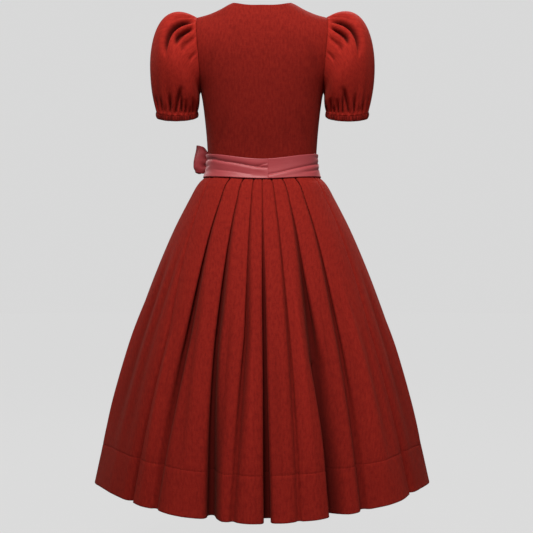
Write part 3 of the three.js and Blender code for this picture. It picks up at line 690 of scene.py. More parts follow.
def make_cuff(look, name, hand, seed):
    turn, share = np.broadcast_arrays(ROUND_THE_ARM, np.linspace(0, 1, 13)[:, None])
    bulge = 0.9 * np.sin(np.pi * share) ** 0.7
    pucker = 0.7 * np.cos(np.radians(CUFF_PUCKERS * turn) + 2 * sine(7 * turn))
    ruffle = pucker * np.sin(np.pi * share) - GATHER_DEPTH * CUFF_DRAWN * gather_wave(turn, seed)
    radius = CUFF_RADIUS + 0.6 * share + ruffle + bulge
    points = cuff_points(turn, radius, share * (CUFF_HEIGHT - 0.4) + SEAM / 2)
    points = points * np.array([hand, 1, 1])
    # Painted shade: the cuff a little darker overall, more so in its gathers and puckers.
    piece = cloth(f"{name}_cloth", name, points, SLEEVE_THICK, look, closed=True,
                  fold=0.5 + 0.25 * ruffle)


# ---------------------------------------------------------------- skirt

FLARE = Table(
    "drop half depth centre power",
    (0, 129.6, 94.5, -21.8, 2.3),
    (6, 131.2, 96.1, -21.7, 2.3),
    (14, 136.4, 101.4, -21.7, 2.3),
    (20, 143.4, 108, -22, 2.25),
    (31, 154, 120, -21, 2.2),
    (69, 175, 143, -19, 2.1),
    (146, 213.5, 186, -16, 2.0),
    (281, 268.5, 248, -11, 1.9),
    (434, 321, 305, -8, 1.85),
    (588, 363.5, 353, -5, 1.8),
    (744, 399, 395, -4, 1.75),
)
HEMLINE = Table("azimuth z", (0, -1122), (26, -1117), (49, -1109), (69, -1103), (90, -1112),
                (135, -1112), (180, -1117))
HEM_DEPTH = 92

# Pleats: azimuth from the half's centre at waist, knee and hem; depth at knee and hem; opening at
# knee and hem; tuck; and which panel's edge lies on top at waist and hem (1 outer, -1 inner, 0
# open).
BACK_PLEATS = (
    ((63, 46, 48), (13, 28), (3, 6), 7, (-1, -1)),
    ((40, 36.5, 37), (25, 10), (9, 12), 14, (1, 0)),
    ((24.5, 21.5, 17.5), (27, 44), (9, 15), 14, (1, 0.8)),
    ((12, 7.3, 8.8), (18, 9), (5, 9), 13, (1, 0)),
    ((0, -1.3, -1.9), (32, 55), (8, 14), 13, None),
    ((-13, -12.3, -11.5), (11, 7), (3, 9), 13, (1, 0)),
    ((-26.5, -24, -23.2), (30, 48), (9, 14), 14, (1, -0.7)),
    ((-42, -37.2, -35.5), (17, 15), (7, 12), 14, (1, 0)),
    ((-65, -57, -60), (13, 24), (3, 6), 7, (-1, -1)),
)
FRONT_PLEATS = (
    ((70, 62, 63), (13, 22), (4, 9), 7, (-1, -1)),
    ((43, 38, 37), (22, 18), (8, 12), 14, (1, 0)),
    ((28, 23, 22), (20, 30), (8, 13), 14, (1, 0.7)),
    ((14, 10, 10.5), (15, 12), (5, 9), 13, (1, 0)),
    ((0, 0.5, 1), (24, 36), (8, 13), 13, None),
    ((-14, -11, -10), (13, 10), (5, 9), 13, (1, 0)),
    ((-28, -24, -22.5), (20, 32), (8, 13), 14, (1, 0.2)),
    ((-43, -38, -36.5), (22, 16), (8, 12), 14, (1, 0)),
    ((-70, -64, -65), (13, 24), (4, 9), 7, (-1, -1)),
)
PLEAT_TOP_DEPTH = 4.8
PLEAT_TOP_GAP = 0.4
KNEE_SHARE = 0.5
FLAT_SHARE = 0.03
PANEL_STEP = 12      # a panel's corners lie about this many degrees of hem apart
PANEL_FULL = 0.075   # how far its middle swells at the hem, as a share of its width
CORNER_SPAN = 15     # length of cloth for each point between two corners
SKIRT_ROW = 9.5      # height from row to row
SKIRT_THICK = 1.1

# Soft folds in the panels: azimuth and drop where each starts and ends, width in degrees, height
# (a trough is negative) and bow in degrees.
BACK_FOLDS = (
    (57, 150, 58, 744, 3.2, -6.0, 0.5),
    (67, 160, 69, 744, 4.6, -9.5, 0.8),
    (79, 260, 81, 744, 3.2, 6.0, -0.5),
    (33, 230, 29, 744, 2.4, -6.5, -0.6),
    (43.5, 330, 42.5, 744, 2.0, 4.5, 0.4),
    (15, 260, 13.5, 744, 2.0, -6.5, 0.5),
    (4, 330, 3.6, 744, 1.3, 3.0, 0.3),
    (-6.2, 360, -6.5, 744, 1.6, -4.5, 0.4),
    (-16.5, 180, -16.3, 744, 1.8, 5.5, -0.4),
    (-30.3, 280, -29.5, 744, 2.0, -5.0, 0.5),
    (-45, 220, -45, 744, 2.6, 6.0, -0.6),
    (-51.5, 330, -52, 744, 2.4, -6.5, 0.5),
    (-68, 200, -69, 744, 3.4, -7.5, -0.8),
    (-79, 300, -80, 744, 3.0, 5.5, 0.5),
)
FRONT_FOLDS = (
    (54, 180, 52, 744, 2.8, 6.0, -0.6),
    (76, 220, 77, 744, 3.6, -8.0, 0.7),
    (-54, 210, -53, 744, 2.8, 5.5, 0.6),
    (-77, 240, -78, 744, 3.6, -7.5, -0.6),
)


def hem_z(azimuth):
    return HEMLINE.z(from_front(azimuth))


def skirt_base(azimuth, drop):
    """The skirt's mean surface, without its pleats."""
    s, c = sine(azimuth), cosine(azimuth)
    power = FLARE.power(drop)
    reach = (np.abs(s) / FLARE.half(drop)) ** power + (np.abs(c) / FLARE.depth(drop)) ** power
    r = reach ** (-1 / power)
    z = lerp(waist_z(azimuth) - SEAM / 2, hem_z(azimuth), drop / SKIRT_DROP)
    return stack(r * s, FLARE.centre(drop) + r * c, z)


def skirt_span(azimuth, drop):
    """From one side of a point to the other, round the skirt."""
    return skirt_base(azimuth + DEGREE_STEP, drop) - skirt_base(azimuth - DEGREE_STEP, drop)


def per_degree(azimuth, drop):
    return np.linalg.norm(skirt_span(azimuth, drop), axis=-1) / (2 * DEGREE_STEP)


def skirt_points(azimuth, drop, outwards):
    """Points of the skirt's surface moved out of it."""
    down = skirt_base(azimuth, drop + 2) - skirt_base(azimuth, np.maximum(drop - 2, -2))
    normal = unit(np.cross(down, -skirt_span(azimuth, drop)))
    normal[..., 2] *= smooth(0, 8, drop) * (1 - smooth(60, 220, drop))
    return skirt_base(azimuth, drop) + unit(normal) * np.asarray(outwards)[..., None]


def knife_pleat(depth, gap, tuck):
    """A pleat's outline: distance outwards from its line, and height over the mean surface."""
    tip = tuck + 0.12 * depth
    return np.array([
        (-(gap + 0.42 * depth + 3), 0),
        (-(0.6 * gap + 0.2 * depth + 1.6), -0.36 * depth),
        (-0.1 * gap - 0.5, -depth),
        (tip, -0.94 * depth),
        (tip, -0.57 * depth),
        (0, -0.47 * depth),
        (0, -0.09 * depth),
        (0.3 * depth + 1.2, 0),
    ])


def open_pleat(depth, gap):
    brim = 0.5 * gap + 0.55 * depth + 3
    return np.array([
        (-brim, 0),
        (-0.4 * gap - 0.3 * depth, -0.5 * depth),
        (-0.15 * gap - 0.12 * depth, -0.95 * depth),
        (0.12 * gap + 0.08 * depth, -0.98 * depth),
        (0.3 * gap + 0.2 * depth, -0.8 * depth),
        (0.4 * gap + 0.29 * depth, -0.52 * depth),
        (0.5 * gap + 0.4 * depth, -0.2 * depth),
        (brim, 0),
    ])


def flipped(outline):
    return outline[::-1] * np.array([-1, 1])


def box_pleat(depth, gap, tuck):
    edge = gap / 2 + 1
    tip = edge + tuck + 0.1 * depth
    right = np.array([
        (tip, -0.94 * depth),
        (tip, -0.57 * depth),
        (edge, -0.47 * depth),
        (edge, -0.09 * depth),
        (edge + 0.25 * depth + 1.5, 0),
    ])
    return np.concatenate([flipped(right), right])


def pleat_at(pleat, share):
    """A pleat's line and its outline at a share of the way down."""
    (waist, knee, hem), depths, gaps, tuck, turns = pleat
    upper = smooth(FLAT_SHARE, KNEE_SHARE, share)
    lower = smooth(KNEE_SHARE, 1, share)

    def opened(top, at_knee, at_hem):
        return lerp(lerp(top, at_knee, upper), at_hem, lower)

    if share < KNEE_SHARE:
        azimuth = lerp(waist, knee, (share / KNEE_SHARE) ** 0.6)
    else:
        azimuth = lerp(knee, hem, (share - KNEE_SHARE) / (1 - KNEE_SHARE))
    depth = opened(PLEAT_TOP_DEPTH, *depths)
    gap = opened(PLEAT_TOP_GAP, *gaps)
    tuck = tuck * (1 - 0.75 * smooth(FLAT_SHARE, 1, share))
    if turns is None:
        return azimuth, box_pleat(depth, gap, tuck)
    turn = lerp(turns[0], turns[1], smooth(0.25, 0.85, share))
    laid = lerp(open_pleat(depth, gap), knife_pleat(depth, gap, tuck), abs(turn))
    return azimuth, laid if turn >= 0 else flipped(laid)


def skirt_corners(pleats, facing, drop):
    """Corners of one ring of a skirt half: distance round the mean surface, and height over it."""
    share = drop / SKIRT_DROP
    degree = float(FLARE.depth(drop)) * math.pi / 180
    edge = 90 - SEAM / 2 / degree
    ring = [np.array([[edge * degree, 0.0]])]
    stops = [90, *(pleat[0][2] for pleat in pleats), -90]
    ends = [*(pleat_at(pleat, share) for pleat in pleats), (-edge, np.zeros((1, 2)))]
    for i, (azimuth, outline) in enumerate(ends):
        pleat = pleats[i] if i < len(pleats) else None
        hand = -1 if pleat and azimuth < 0 and pleat[4] else 1
        local = float(per_degree(np.array(azimuth + facing), drop))
        path = outline * np.array([hand * degree / local, 1]) + np.array([azimuth * degree, 0])
        path = path[::-1] if hand > 0 else path
        start, finish = ring[-1][-1, 0], path[0, 0]
        parts = 1 + max(1, round((stops[i] - stops[i + 1]) / PANEL_STEP))
        full = PANEL_FULL * share * min(start - finish, 20 * degree)
        outer = i in (0, len(pleats))
        for k in range(1, parts):
            along = k / parts
            height = 0 if outer else full * 4 * along * (1 - along)
            ring.append(np.array([[lerp(start, finish, along), height]]))
        ring.append(path)
    return np.concatenate(ring), degree


def rounded(corners, limit, counts):
    """A polyline with its corners rounded by arcs that take at most limit of each side, with a
    fixed number of points on each straight stretch."""
    before = np.diff(corners, axis=0, prepend=corners[:1])
    after = np.diff(corners, axis=0, append=corners[-1:])
    size_before = np.linalg.norm(before, axis=1, keepdims=True)
    size_after = np.linalg.norm(after, axis=1, keepdims=True)
    most = 0.42
    start = corners - before * np.minimum(most, limit / np.maximum(size_before, 1e-6))
    finish = corners + after * np.minimum(most, limit / np.maximum(size_after, 1e-6))
    points = [corners[:1]]
    for i in range(1, len(corners)):
        t = np.arange(1, counts[i - 1] + 1)[:, None] / (counts[i - 1] + 1)
        points.append(lerp(finish[i - 1], start[i], t))
        if i < len(corners) - 1:
            points.append(np.stack([
                start[i],
                start[i] * 0.25 + corners[i] * 0.5 + finish[i] * 0.25,
                finish[i],
            ]))
    points.append(corners[-1:])
    return np.concatenate(points)


def skirt_drops():
    """Rows of the skirt: close at the waist and by the hem's stitching."""
    hem = SKIRT_DROP - HEM_DEPTH
    return np.concatenate([
        [0, 2, 5, 9, 14, 20, 27], steps(35, hem - 6, SKIRT_ROW),
        hem + np.array([-2.5, -1, 0, 1, 2.5]),
        steps(hem + 9, SKIRT_DROP - 6, SKIRT_ROW), [SKIRT_DROP - 2.5, SKIRT_DROP],
    ])


def skirt_surface(pleats, folds, facing, drops):
    """Points of a skirt half, and how proud each stands."""
    rings = [skirt_corners(pleats, facing, drop) for drop in drops]
    longest = np.max([np.linalg.norm(np.diff(ring, axis=0), axis=1) for ring, _ in rings], axis=0)
    counts = np.round(longest / CORNER_SPAN).astype(int)
    rows, proud = [], []
    for drop, (ring, degree) in zip(drops, rings):
        share = drop / SKIRT_DROP
        curve = rounded(ring, 0.8 + 15 * share ** 0.8, counts)
        azimuth, height = curve[:, 0] / degree, curve[:, 1]
        height = height + creases(azimuth, drop, folds)
        uneven = wobble(azimuth * 6 + drop * 0.02, 1.7, 21) * wobble(drop, 0.3, 90)
        height = height + 1.1 * share * uneven
        from_stitching = SKIRT_DROP - drop - HEM_DEPTH
        height = height - 0.7 * bell(from_stitching, 1.3)
        height = height - 0.7 * bell(from_stitching, 16) * np.abs(wobble(azimuth, 3.1, 0.9))
        rows.append(skirt_points(azimuth + facing, np.full(len(curve), float(drop)), height))
        proud.append(height)
    return np.array(rows), np.array(proud)


def make_skirt(look, name, pleats, folds, facing):
    drops = skirt_drops()
    points, proud = skirt_surface(pleats, folds, facing, drops)
    across, along = slopes(points, False)
    outward = unit(np.cross(along, across))
    outward[0, :, 2] = 0
    # Painted shade: darker deep in the pleats and troughs, where proud is low.
    piece = cloth(f"{name}_cloth", name, points, SKIRT_THICK, look, share=0.5, outward=outward,
                  fold=np.clip(0.7 + proud / 55, 0, 1))
    hem = int(np.argmin(np.abs(SKIRT_DROP - drops - HEM_DEPTH)))
    shown = points[hem] + outward[hem] * SKIRT_THICK / 2
    stitches(f"{name}_hem_stitches", shown, outward[hem], look, "claret_cloth",
             pitch=9, length=1.6, thick=0.5)


# ---------------------------------------------------------------- apron band, tie and apron

BAND_END = -8
KNOT = 122
KNOT_HALF = 0.25
KNOT_TALL = 26
BAND_DROP = 14.5
BAND_CLEAR = SEAM + 1.8 + 0.35   # how far the band's outer face stands off the bodice
BAND_TOP = -331
BAND_TOP_DIP = 19                # how much lower its top edge lies at centre back and front
BAND_FLARE = 7.2                 # how far its foot stands out over the skirt
DEEPEST = -1.6                   # the most that its folds sink
APRON = {"waist_half": 48, "hem_half": 49, "length": 676, "gathers": 18, "clear": 1.9, "lift": 3,
         "hem": 30}
APRON_THICK = 1.1


def sash_top(azimuth):
    return BAND_TOP - BAND_TOP_DIP * cosine(azimuth) ** 2


def sash_foot(azimuth):
    return waist_z(azimuth) - BAND_DROP


def waist_points(azimuth, z, off):
    """The outside of the dress at the waist, moved out."""
    s, c = sine(azimuth), cosine(azimuth)
    depth = np.where(c > 0, TORSO.back(z), TORSO.front(z))
    reach = (np.abs(s) / TORSO.half(z)) ** TORSO_POWER + (np.abs(c) / depth) ** TORSO_POWER
    r = reach ** (-1 / TORSO_POWER) + off
    return stack(r * s, TORSO.side(z) + r * c, z)


BOW = {"z": -346, "width": 66, "pinch": 20, "loop": 56, "start": 10.6, "stand": 3.9, "middle": 9.4}

# Folds along the tie: azimuth and level (0 top edge, 1 foot) where each starts and ends, width as
# a share of the band, depth, and how much the lower lip stands over the upper one.
TIE_FOLDS = (
    (66, 0.22, -8, 0.47, 0.050, -2.2, 1.3),
    (118, 0.36, 58, 0.20, 0.050, -1.8, 0.7),
    (8, 0.40, -8, 0.22, 0.045, -1.1, 0.4),
    (112, 0.62, 70, 0.52, 0.060, -1.5, 0.6),
    (60, 0.68, 14, 0.80, 0.060, -0.8, 0.3),
    (119, 0.85, 84, 0.80, 0.050, -1.3, 0.4),
)
BAND_FOLDS = (
    (2, 0.86, -94, 0.34, 0.042, -2.0, 1.3),
    (-50, 0.80, -108, 0.60, 0.040, -1.2, 0.5),
    (-70, 0.16, -140, 0.22, 0.050, -1.0, 0.3),
    (-118, 0.52, -196, 0.60, 0.050, -1.1, 0.4),
    (-180, 0.30, -236, 0.42, 0.060, -1.4, 0.5),
    (-196, 0.76, -237, 0.60, 0.060, -1.3, 0.4),
)


def sash_creases(level, azimuth, rows):
    total = np.zeros(np.broadcast(level, azimuth).shape)
    for from_azimuth, from_level, to_azimuth, to_level, width, depth, lip in rows:
        t = (azimuth - from_azimuth) / (to_azimuth - from_azimuth)
        middle = lerp(from_level, to_level, t) + 0.012 * np.sin(9 * t)
        ends = smooth(-0.08, 0.12, t) * (1 - smooth(0.88, 1.08, t))
        off = level - middle
        steep = np.where(off < 0, off / (width * 1.8), off / (width * 0.6))
        total = total + ends * (depth * bell(steep, 1) + lip * bell(off - 0.11, 0.1))
    return total


def sash_strip(start, end, pitch, drawn, crease, rows=34):
    """A strip round the waist between two azimuths, drawn in to the knot over drawn degrees."""
    azimuth = steps(start, end, pitch)[None]
    share = np.linspace(0, 1, rows)[:, None]
    away = np.abs(np.mod(azimuth, 360) - KNOT)
    full = np.where(away > drawn, 1, smooth(0, drawn, away))
    top, foot = sash_top(azimuth), sash_foot(azimuth)
    upper = lerp(BOW["z"] + KNOT_TALL / 2, top, full)
    z = lerp(upper, lerp(BOW["z"] - KNOT_TALL / 2, foot, full), share)
    level = (top - z) / (top - foot)
    gathers = 1.5 * np.cos(2 * math.pi * 4.5 * share)
    gathers = gathers * (1 - smooth(0, 26, away)) * smooth(0, 4, away)
    out = BAND_CLEAR + crease(level, azimuth) + gathers
    return waist_points(azimuth, z, out), azimuth, share


def tie_crease(level, azimuth):
    rounding = 0.9 * wave(level * 2.2 + azimuth / 170) + BAND_FLARE * level ** 3
    return rounding + np.maximum(sash_creases(level, azimuth, TIE_FOLDS), DEEPEST)


def band_crease(level, azimuth):
    rounding = 0.6 + BAND_FLARE * level ** 3
    return rounding + np.maximum(sash_creases(level, azimuth, BAND_FOLDS), DEEPEST)


# Painted shade: the ribbon darker in its creases and lighter on their lips.
def sash_crease_shade(points, share, azimuth, rows):
    return np.broadcast_to(0.5 + 0.3 * sash_creases(share, azimuth, rows), points.shape[:2])


def make_band(look, thread):
    points, azimuth, share = sash_strip(BAND_END, KNOT - 360 + KNOT_HALF, 1.2, 9, band_crease)
    piece = cloth("apron_band_satin", "apron_band", points, RIBBON, look, slot="rose_satin",
                  fold=sash_crease_shade(points, share, azimuth, BAND_FOLDS))
    across, along = slopes(points, False)
    outward = unit(np.cross(along, across))
    if outward[5, 0, 1] < 0:
        outward = -outward
    upper = slice(2, 20)
    stitches("band_end_stitches", points[upper, 1], outward[upper, 1], thread, "rose_satin",
             pitch=2.6, length=1.9, thick=0.4, lift=0.05)


def make_tie(look):
    points, azimuth, share = sash_strip(KNOT - KNOT_HALF, BAND_END + 0.2, 1.2, 20, tie_crease)
    piece = cloth("tie_satin", "tie", points, RIBBON, look, slot="rose_satin",
                  fold=sash_crease_shade(points, share, azimuth, TIE_FOLDS))


def make_apron(look, thread):
    length, foot = APRON["length"], BAND_DROP + APRON["length"]
    head, stitched = BAND_DROP + 5 * SEAM, foot - APRON["hem"]
    drops = np.concatenate([
        [head, head + 1.5, head + 4, head + 8], steps(head + 14, stitched - 4, 10),
        stitched + np.array([-1.5, 0, 1.5]), steps(stitched + 6, foot - 4, 7), [foot - 1, foot],
    ])
    count = APRON["gathers"] * 13 + 1
    across = np.linspace(0, 1, count)[None]
    drop = drops[:, None]
    share = (drop - head) / length
    half = lerp(APRON["waist_half"], APRON["hem_half"], share)
    swell = 1.2 + 9 * smooth(0, 1, share)
    turn = APRON["gathers"] * across
    soften = 1.2 * np.sin(across * 9 + 2.2 * share) * share + 0.35 * np.sin(across * 40)
    uneven = 0.75 + 0.25 * np.sin(5 * (2 * turn + 1))
    fine = 0.8 * (1 - smooth(0, 0.14, share)) * wave(turn * 2.5)
    out = swell * wave(turn + 0.12 * soften) * uneven + fine * smooth(0, 0.01, share)
    out = out - 0.5 * bell(stitched - drop, 1.2)
    azimuth = 180 - half + 2 * half * across
    lift = APRON["clear"] + APRON["lift"] * share + out * smooth(0, 0.012, share)
    azimuth, lift, drop = np.broadcast_arrays(azimuth, lift, drop)
    points = skirt_points(azimuth, drop, lift)
    points[0, :, 2] = sash_foot(azimuth[0]) - SEAM
    outward = unit(np.cross(*slopes(points, False)[::-1]))
    if outward[20, count // 2, 1] > 0:
        outward = -outward
    outward[0, :, 2] = 0
    # Painted shade: darker in the valleys of the gathers.
    piece = cloth("apron_satin", "apron", points, APRON_THICK, look, share=0.5, outward=outward,
                  fold=np.clip(0.4 + out / 16, 0, 1), slot="rose_satin")
    hem = int(np.argmin(np.abs(drops - stitched)))
    shown = points[hem] + outward[hem] * APRON_THICK / 2
    stitches("apron_hem_stitches", shown, outward[hem], thread, "rose_satin", pitch=3.4, length=2.4,
             thick=0.4)


# ---------------------------------------------------------------- bow


def at_bow(along, out, up):
    """A point by its distances from the knot: along the waist to the back, out of it and up."""
    ahead, here, behind = (waist_points(np.array(float(KNOT + k)), np.array(float(BOW["z"])),
                                        BOW["stand"]) for k in (-2, 0, 2))
    back = unit(ahead - behind)
    out_of, upwards = np.array([back[1], -back[0], 0]), np.array([0, 0, 1])
    along, out, up = (v[..., None] for v in np.broadcast_arrays(along, out, up))
    return here + along * back + out * out_of + up * upwards


def make_loop(look, name, hand, lift, seed):
    """A loop of ribbon that leaves the knot, turns and comes back."""
    level, turn = np.meshgrid(np.linspace(0, 1, 27), 180 * np.linspace(0, 1, 97), indexing="ij")
    far = np.abs(sine(turn)) ** 0.8
    leg = cosine(turn)
    width = lerp(BOW["pinch"], BOW["width"], smooth(0, 0.75, far))
    out = BOW["middle"] + leg * 11 * (0.25 + 0.75 * sine(turn)) + 6 * far
    dish = 3 * (1 - (2 * level - 1) ** 2) * leg
    outer_leg = np.sign(np.where(leg == 0, 1, leg))
    pleats = 1.5 * np.cos(2 * math.pi * 1.5 * level) * (1 - far) * outer_leg
    rays = 1.3 * np.cos(2 * math.pi * (3.2 * level + 0.2 * seed))
    rays = rays * smooth(0.05, 0.3, far) * (1 - smooth(0.45, 0.95, far))
    soft = 0.9 * wobble(level * 60 + turn * 0.4, seed, 17) * far
    up = (level - 0.5) * width + lift * far
    rounding = 0.16 * smooth(0.35, 1, level) + 0.1 * (1 - smooth(0, 0.2, level))
    reach = BOW["loop"] * (1 - rounding) * far
    points = at_bow(hand * (BOW["start"] + reach), out + dish + pleats + rays + soft, up)
    # Painted shade: darker on the half of the loop near the knot, and in the valleys of its rays.
    piece = cloth(f"{name}_satin", name, points, RIBBON, look, share=0.5, slot="rose_satin",
                  fold=0.5 + 0.2 * rays - 0.5 * (1 - smooth(0.6, 0.88, far)))


KNOT_HALVES = (10.5, 7.7, 14.6)


def make_knot(look):
    """The knot: ribbon wound tight round the middle, with folds running over it."""
    rows, sides = 40, 72
    tilt = np.linspace(-90, 90, rows)[:, None]
    turn = np.arange(sides)[None] * 360 / sides

    def boxy(v):
        return np.sign(v) * np.abs(v) ** 0.72

    x, up, deep = cosine(tilt) * cosine(turn), sine(tilt), cosine(tilt) * sine(turn)
    groove = 0.5 * np.cos(11 * x + 2 * up) + 0.3 * np.cos(23 * x + 1)
    pinch = (1 + 0.06 * np.cos(7 * up)) * 0.97
    half_wide, half_deep, half_tall = KNOT_HALVES
    out = BOW["middle"] + (half_deep + 0.45 * groove) * boxy(deep)
    points = at_bow(half_wide * boxy(x) * pinch, out, half_tall * boxy(up))
    vertices = points.reshape(-1, 3)
    mesh = bpy.data.meshes.new("bow_knot_satin")
    mesh.from_pydata((vertices * MM).tolist(), [], tube_faces(rows, sides))
    mesh.validate()
    work = bmesh.new()
    work.from_mesh(mesh)
    bmesh.ops.remove_doubles(work, verts=work.verts, dist=2e-5)
    bmesh.ops.recalc_face_normals(work, faces=work.faces)
    work.to_mesh(mesh)
    work.free()
    mesh.polygons.foreach_set("use_smooth", np.ones(len(mesh.polygons), bool))
    layer = mesh.uv_layers.new(name="cloth")
    co = np.array([v.co for v in mesh.vertices])
    index = np.zeros(len(mesh.loops), int)
    mesh.loops.foreach_get("vertex_index", index)
    layer.data.foreach_set("uv", co[index][:, [2, 1]].ravel())
    place("bow_knot_satin", mesh, look, "rose_satin", "bow_knot")


TAIL = {"start": -13.2, "narrow": 8.5, "wide": 58, "over_band": 7.6}


def make_tail(look, name, start, end, length, slant, clear, seed):
    """A hanging end of the tie: from under the knot over the band, then down the skirt."""
    share, across = np.meshgrid(np.linspace(0, 1, 90), np.linspace(0, 1, 31), indexing="ij")
    middle = lerp(start, end, share ** 0.8)
    width = lerp(TAIL["narrow"], TAIL["wide"], smooth(0.06, 0.42, share))
    drop = TAIL["start"] + share * (length + slant * (across - 0.5) * smooth(0.3, 1, share))
    fold = 3.2 * smooth(0.1, 0.4, share) * (0.5 + 0.5 * np.cos(2 * math.pi * 1.5 * across))
    soft = 0.8 * wobble(share * 100 + across * 12, seed, 12) * smooth(0.2, 0.5, share)
    pinched = 0.7 * np.cos(2 * math.pi * 3 * across) * bell(share - 0.2, 0.1)
    out = lerp(TAIL["over_band"], clear, smooth(0.03, 0.2, share)) + fold
    out = out + np.maximum(soft + pinched, -0.4)
    azimuth = middle + (across - 0.5) * width / per_degree(middle, drop)
    points = skirt_points(azimuth, drop, out)
    # Painted shade: darker in the valleys between the tail's folds.
    piece = cloth(f"{name}_satin", name, points, RIBBON, look, share=0.5, slot="rose_satin",
                  fold=0.3 + fold / 6)


# ---------------------------------------------------------------- finishes


class Value:
    """A shader value that adds and multiplies like a number."""

    def __init__(self, look, socket):
        self.look, self.socket = look, socket

    def _math(self, operation, *others):
        sockets = dict(enumerate((self, *others)))
        return self.look.node("ShaderNodeMath", {"operation": operation}, sockets)

    def __add__(self, other):
        return self._math("ADD", other)

    __radd__ = __add__

    def __mul__(self, other):
        return self._math("MULTIPLY", other)

    __rmul__ = __mul__

    def sine(self):
        return self._math("SINE")


# Sockets of a Mix node that mixes colours.
MIX_FACTOR, MIX_ONE, MIX_OTHER, MIX_RESULT = 0, 6, 7, 2


class Look:
    """A material or the studio's world in the making."""

    def __init__(self, made, shader="Principled BSDF"):
        made.use_nodes = True
        self.made, self.tree = made, made.node_tree
        self.shader = self.tree.nodes[shader]

    def node(self, kind, settings, sockets, output=0):
        """Adds a node: its settings first, then the values or links of its sockets."""
        made = self.tree.nodes.new(kind)
        for name, value in settings.items():
            setattr(made, name, value)
        for name, value in sockets.items():
            self.feed(made.inputs[name], value)
        return Value(self, made.outputs[output])

    def feed(self, socket, value):
        if isinstance(value, Value):
            self.tree.links.new(value.socket, socket)
        else:
            socket.default_value = value

    def mix(self, factor, one, other):
        """One colour mixed with another."""
        sockets = {MIX_FACTOR: factor, MIX_ONE: one, MIX_OTHER: other}
        return self.node("ShaderNodeMix", {"data_type": "RGBA"}, sockets, output=MIX_RESULT)

    def noise(self, vector, scale, detail=2.0, roughness=0.5):
        return self.node("ShaderNodeTexNoise", {}, {"Vector": vector, "Scale": scale,
                                                     "Detail": detail, "Roughness": roughness})

    def stretch(self, vector, x, y):
        return self.node("ShaderNodeVectorMath", {"operation": "MULTIPLY"},
                         {0: vector, 1: (x, y, 1)})

    def ramp(self, value, start, end, most, least=0.0, kind="LINEAR"):
        """least where the value is start, most where it is end, and level beyond."""
        return self.node("ShaderNodeMapRange", {"interpolation_type": kind}, {
            "Value": value, "From Min": start, "From Max": end, "To Min": least, "To Max": most})

    def cloth_map(self):
        """The cloth's own map, in metres, and how far each point of it stands proud."""
        fold = self.node("ShaderNodeAttribute", {"attribute_name": "fold"}, {}, output="Fac")
        return self.node("ShaderNodeUVMap", {"uv_map": "cloth"}, {}), fold

    def backdrop_light(self, share):
        """Full strength where the camera sees it, and a share of that on the dress."""
        seen = self.node("ShaderNodeLightPath", {}, {}, output="Is Camera Ray")
        return self.ramp(seen, 0.0, 1.0, 1.0, least=share)

    def apply(self, sockets):
        """Sets the shader: what varies by links, what doesn't on the sockets themselves."""
        for name, value in sockets.items():
            self.feed(self.shader.inputs[name], value)
        return self.made

    def finish(self, colour, roughness, height, distance, **constants):
        """The cloth's colour, its roughness and the relief of its yarns."""
        normal = self.node("ShaderNodeBump", {}, {"Strength": 1.0, "Distance": distance,
                                                   "Height": height})
        plain = {name.replace("_", " ").title().replace("Ior", "IOR"): value
                 for name, value in constants.items()}
        return self.apply({"Base Color": colour, "Roughness": roughness, "Normal": normal, **plain})


def tinted(colour, *gains):
    """A colour with each of its channels made brighter or darker."""
    return (*(min(1.0, c * gain) for c, gain in zip(colour, gains)), 1.0)


def tone(colour, gain):
    return tinted(colour, gain, gain, gain)


def woven_look(name, colour, pitch):
    """Fine matte woven cloth with uneven yarns, a brushed nap and painted shade where its fold
    value is low.
    """
    look = Look(bpy.data.materials.new(name))
    cloth_map, fold = look.cloth_map()
    u, v = (look.node("ShaderNodeSeparateXYZ", {}, {0: cloth_map}, output=axis) for axis in "XY")
    turns = 2 * math.pi / pitch
    warp_slub = look.noise(look.stretch(cloth_map, 620, 34), 1.0, 3.0, 0.6)
    weft_slub = look.noise(look.stretch(cloth_map, 34, 620), 1.0, 3.0, 0.6)
    nap = look.noise(cloth_map, 260.0, 4.0, 0.65)
    cloud = look.noise(cloth_map, 7.0, 3.0, 0.55)
    weave = (u * turns).sine() * (v * turns).sine() * 0.5 + 0.5
    height = weave * 0.45 + warp_slub * 0.7 + weft_slub * 0.7 + nap * 0.6
    yarn = (warp_slub + weft_slub) * 0.5
    streak = look.noise(look.stretch(cloth_map, 190, 70), 1.0, 4.0, 0.7)
    dark = tone(colour, 0.55)
    body = look.mix(cloud, tone(colour, 0.88), tone(colour, 1.12))
    body = look.mix(look.ramp(yarn, 0.35, 0.65, 0.34), body, tinted(colour, 1.5, 2.1, 1.9))
    body = look.mix(look.ramp(nap, 0.62, 0.35, 0.3), body, dark)
    body = look.mix(look.ramp(streak, 0.46, 0.7, 0.42), body, tinted(colour, 1.45, 2.2, 1.6))
    body = look.mix(look.ramp(streak, 0.5, 0.3, 0.45), body, dark)
    # Painted shade: the cloth is darkened where its fold value is low, deep in folds and recesses
    # and low on the bodice.
    recess_shade = look.ramp(fold, 0.1, 0.95, 1.0, kind="SMOOTHSTEP")
    body = look.mix(recess_shade, look.mix(0.85, body, tone(colour, 0.15)), body)
    rough = look.ramp(nap, 0.3, 0.7, 0.95, least=0.82)
    return look.finish(body, rough, height, 0.00035, sheen_weight=0.07, sheen_roughness=0.45,
                       sheen_tint=(1.0, 0.32, 0.22, 1.0), specular_ior_level=0.09)


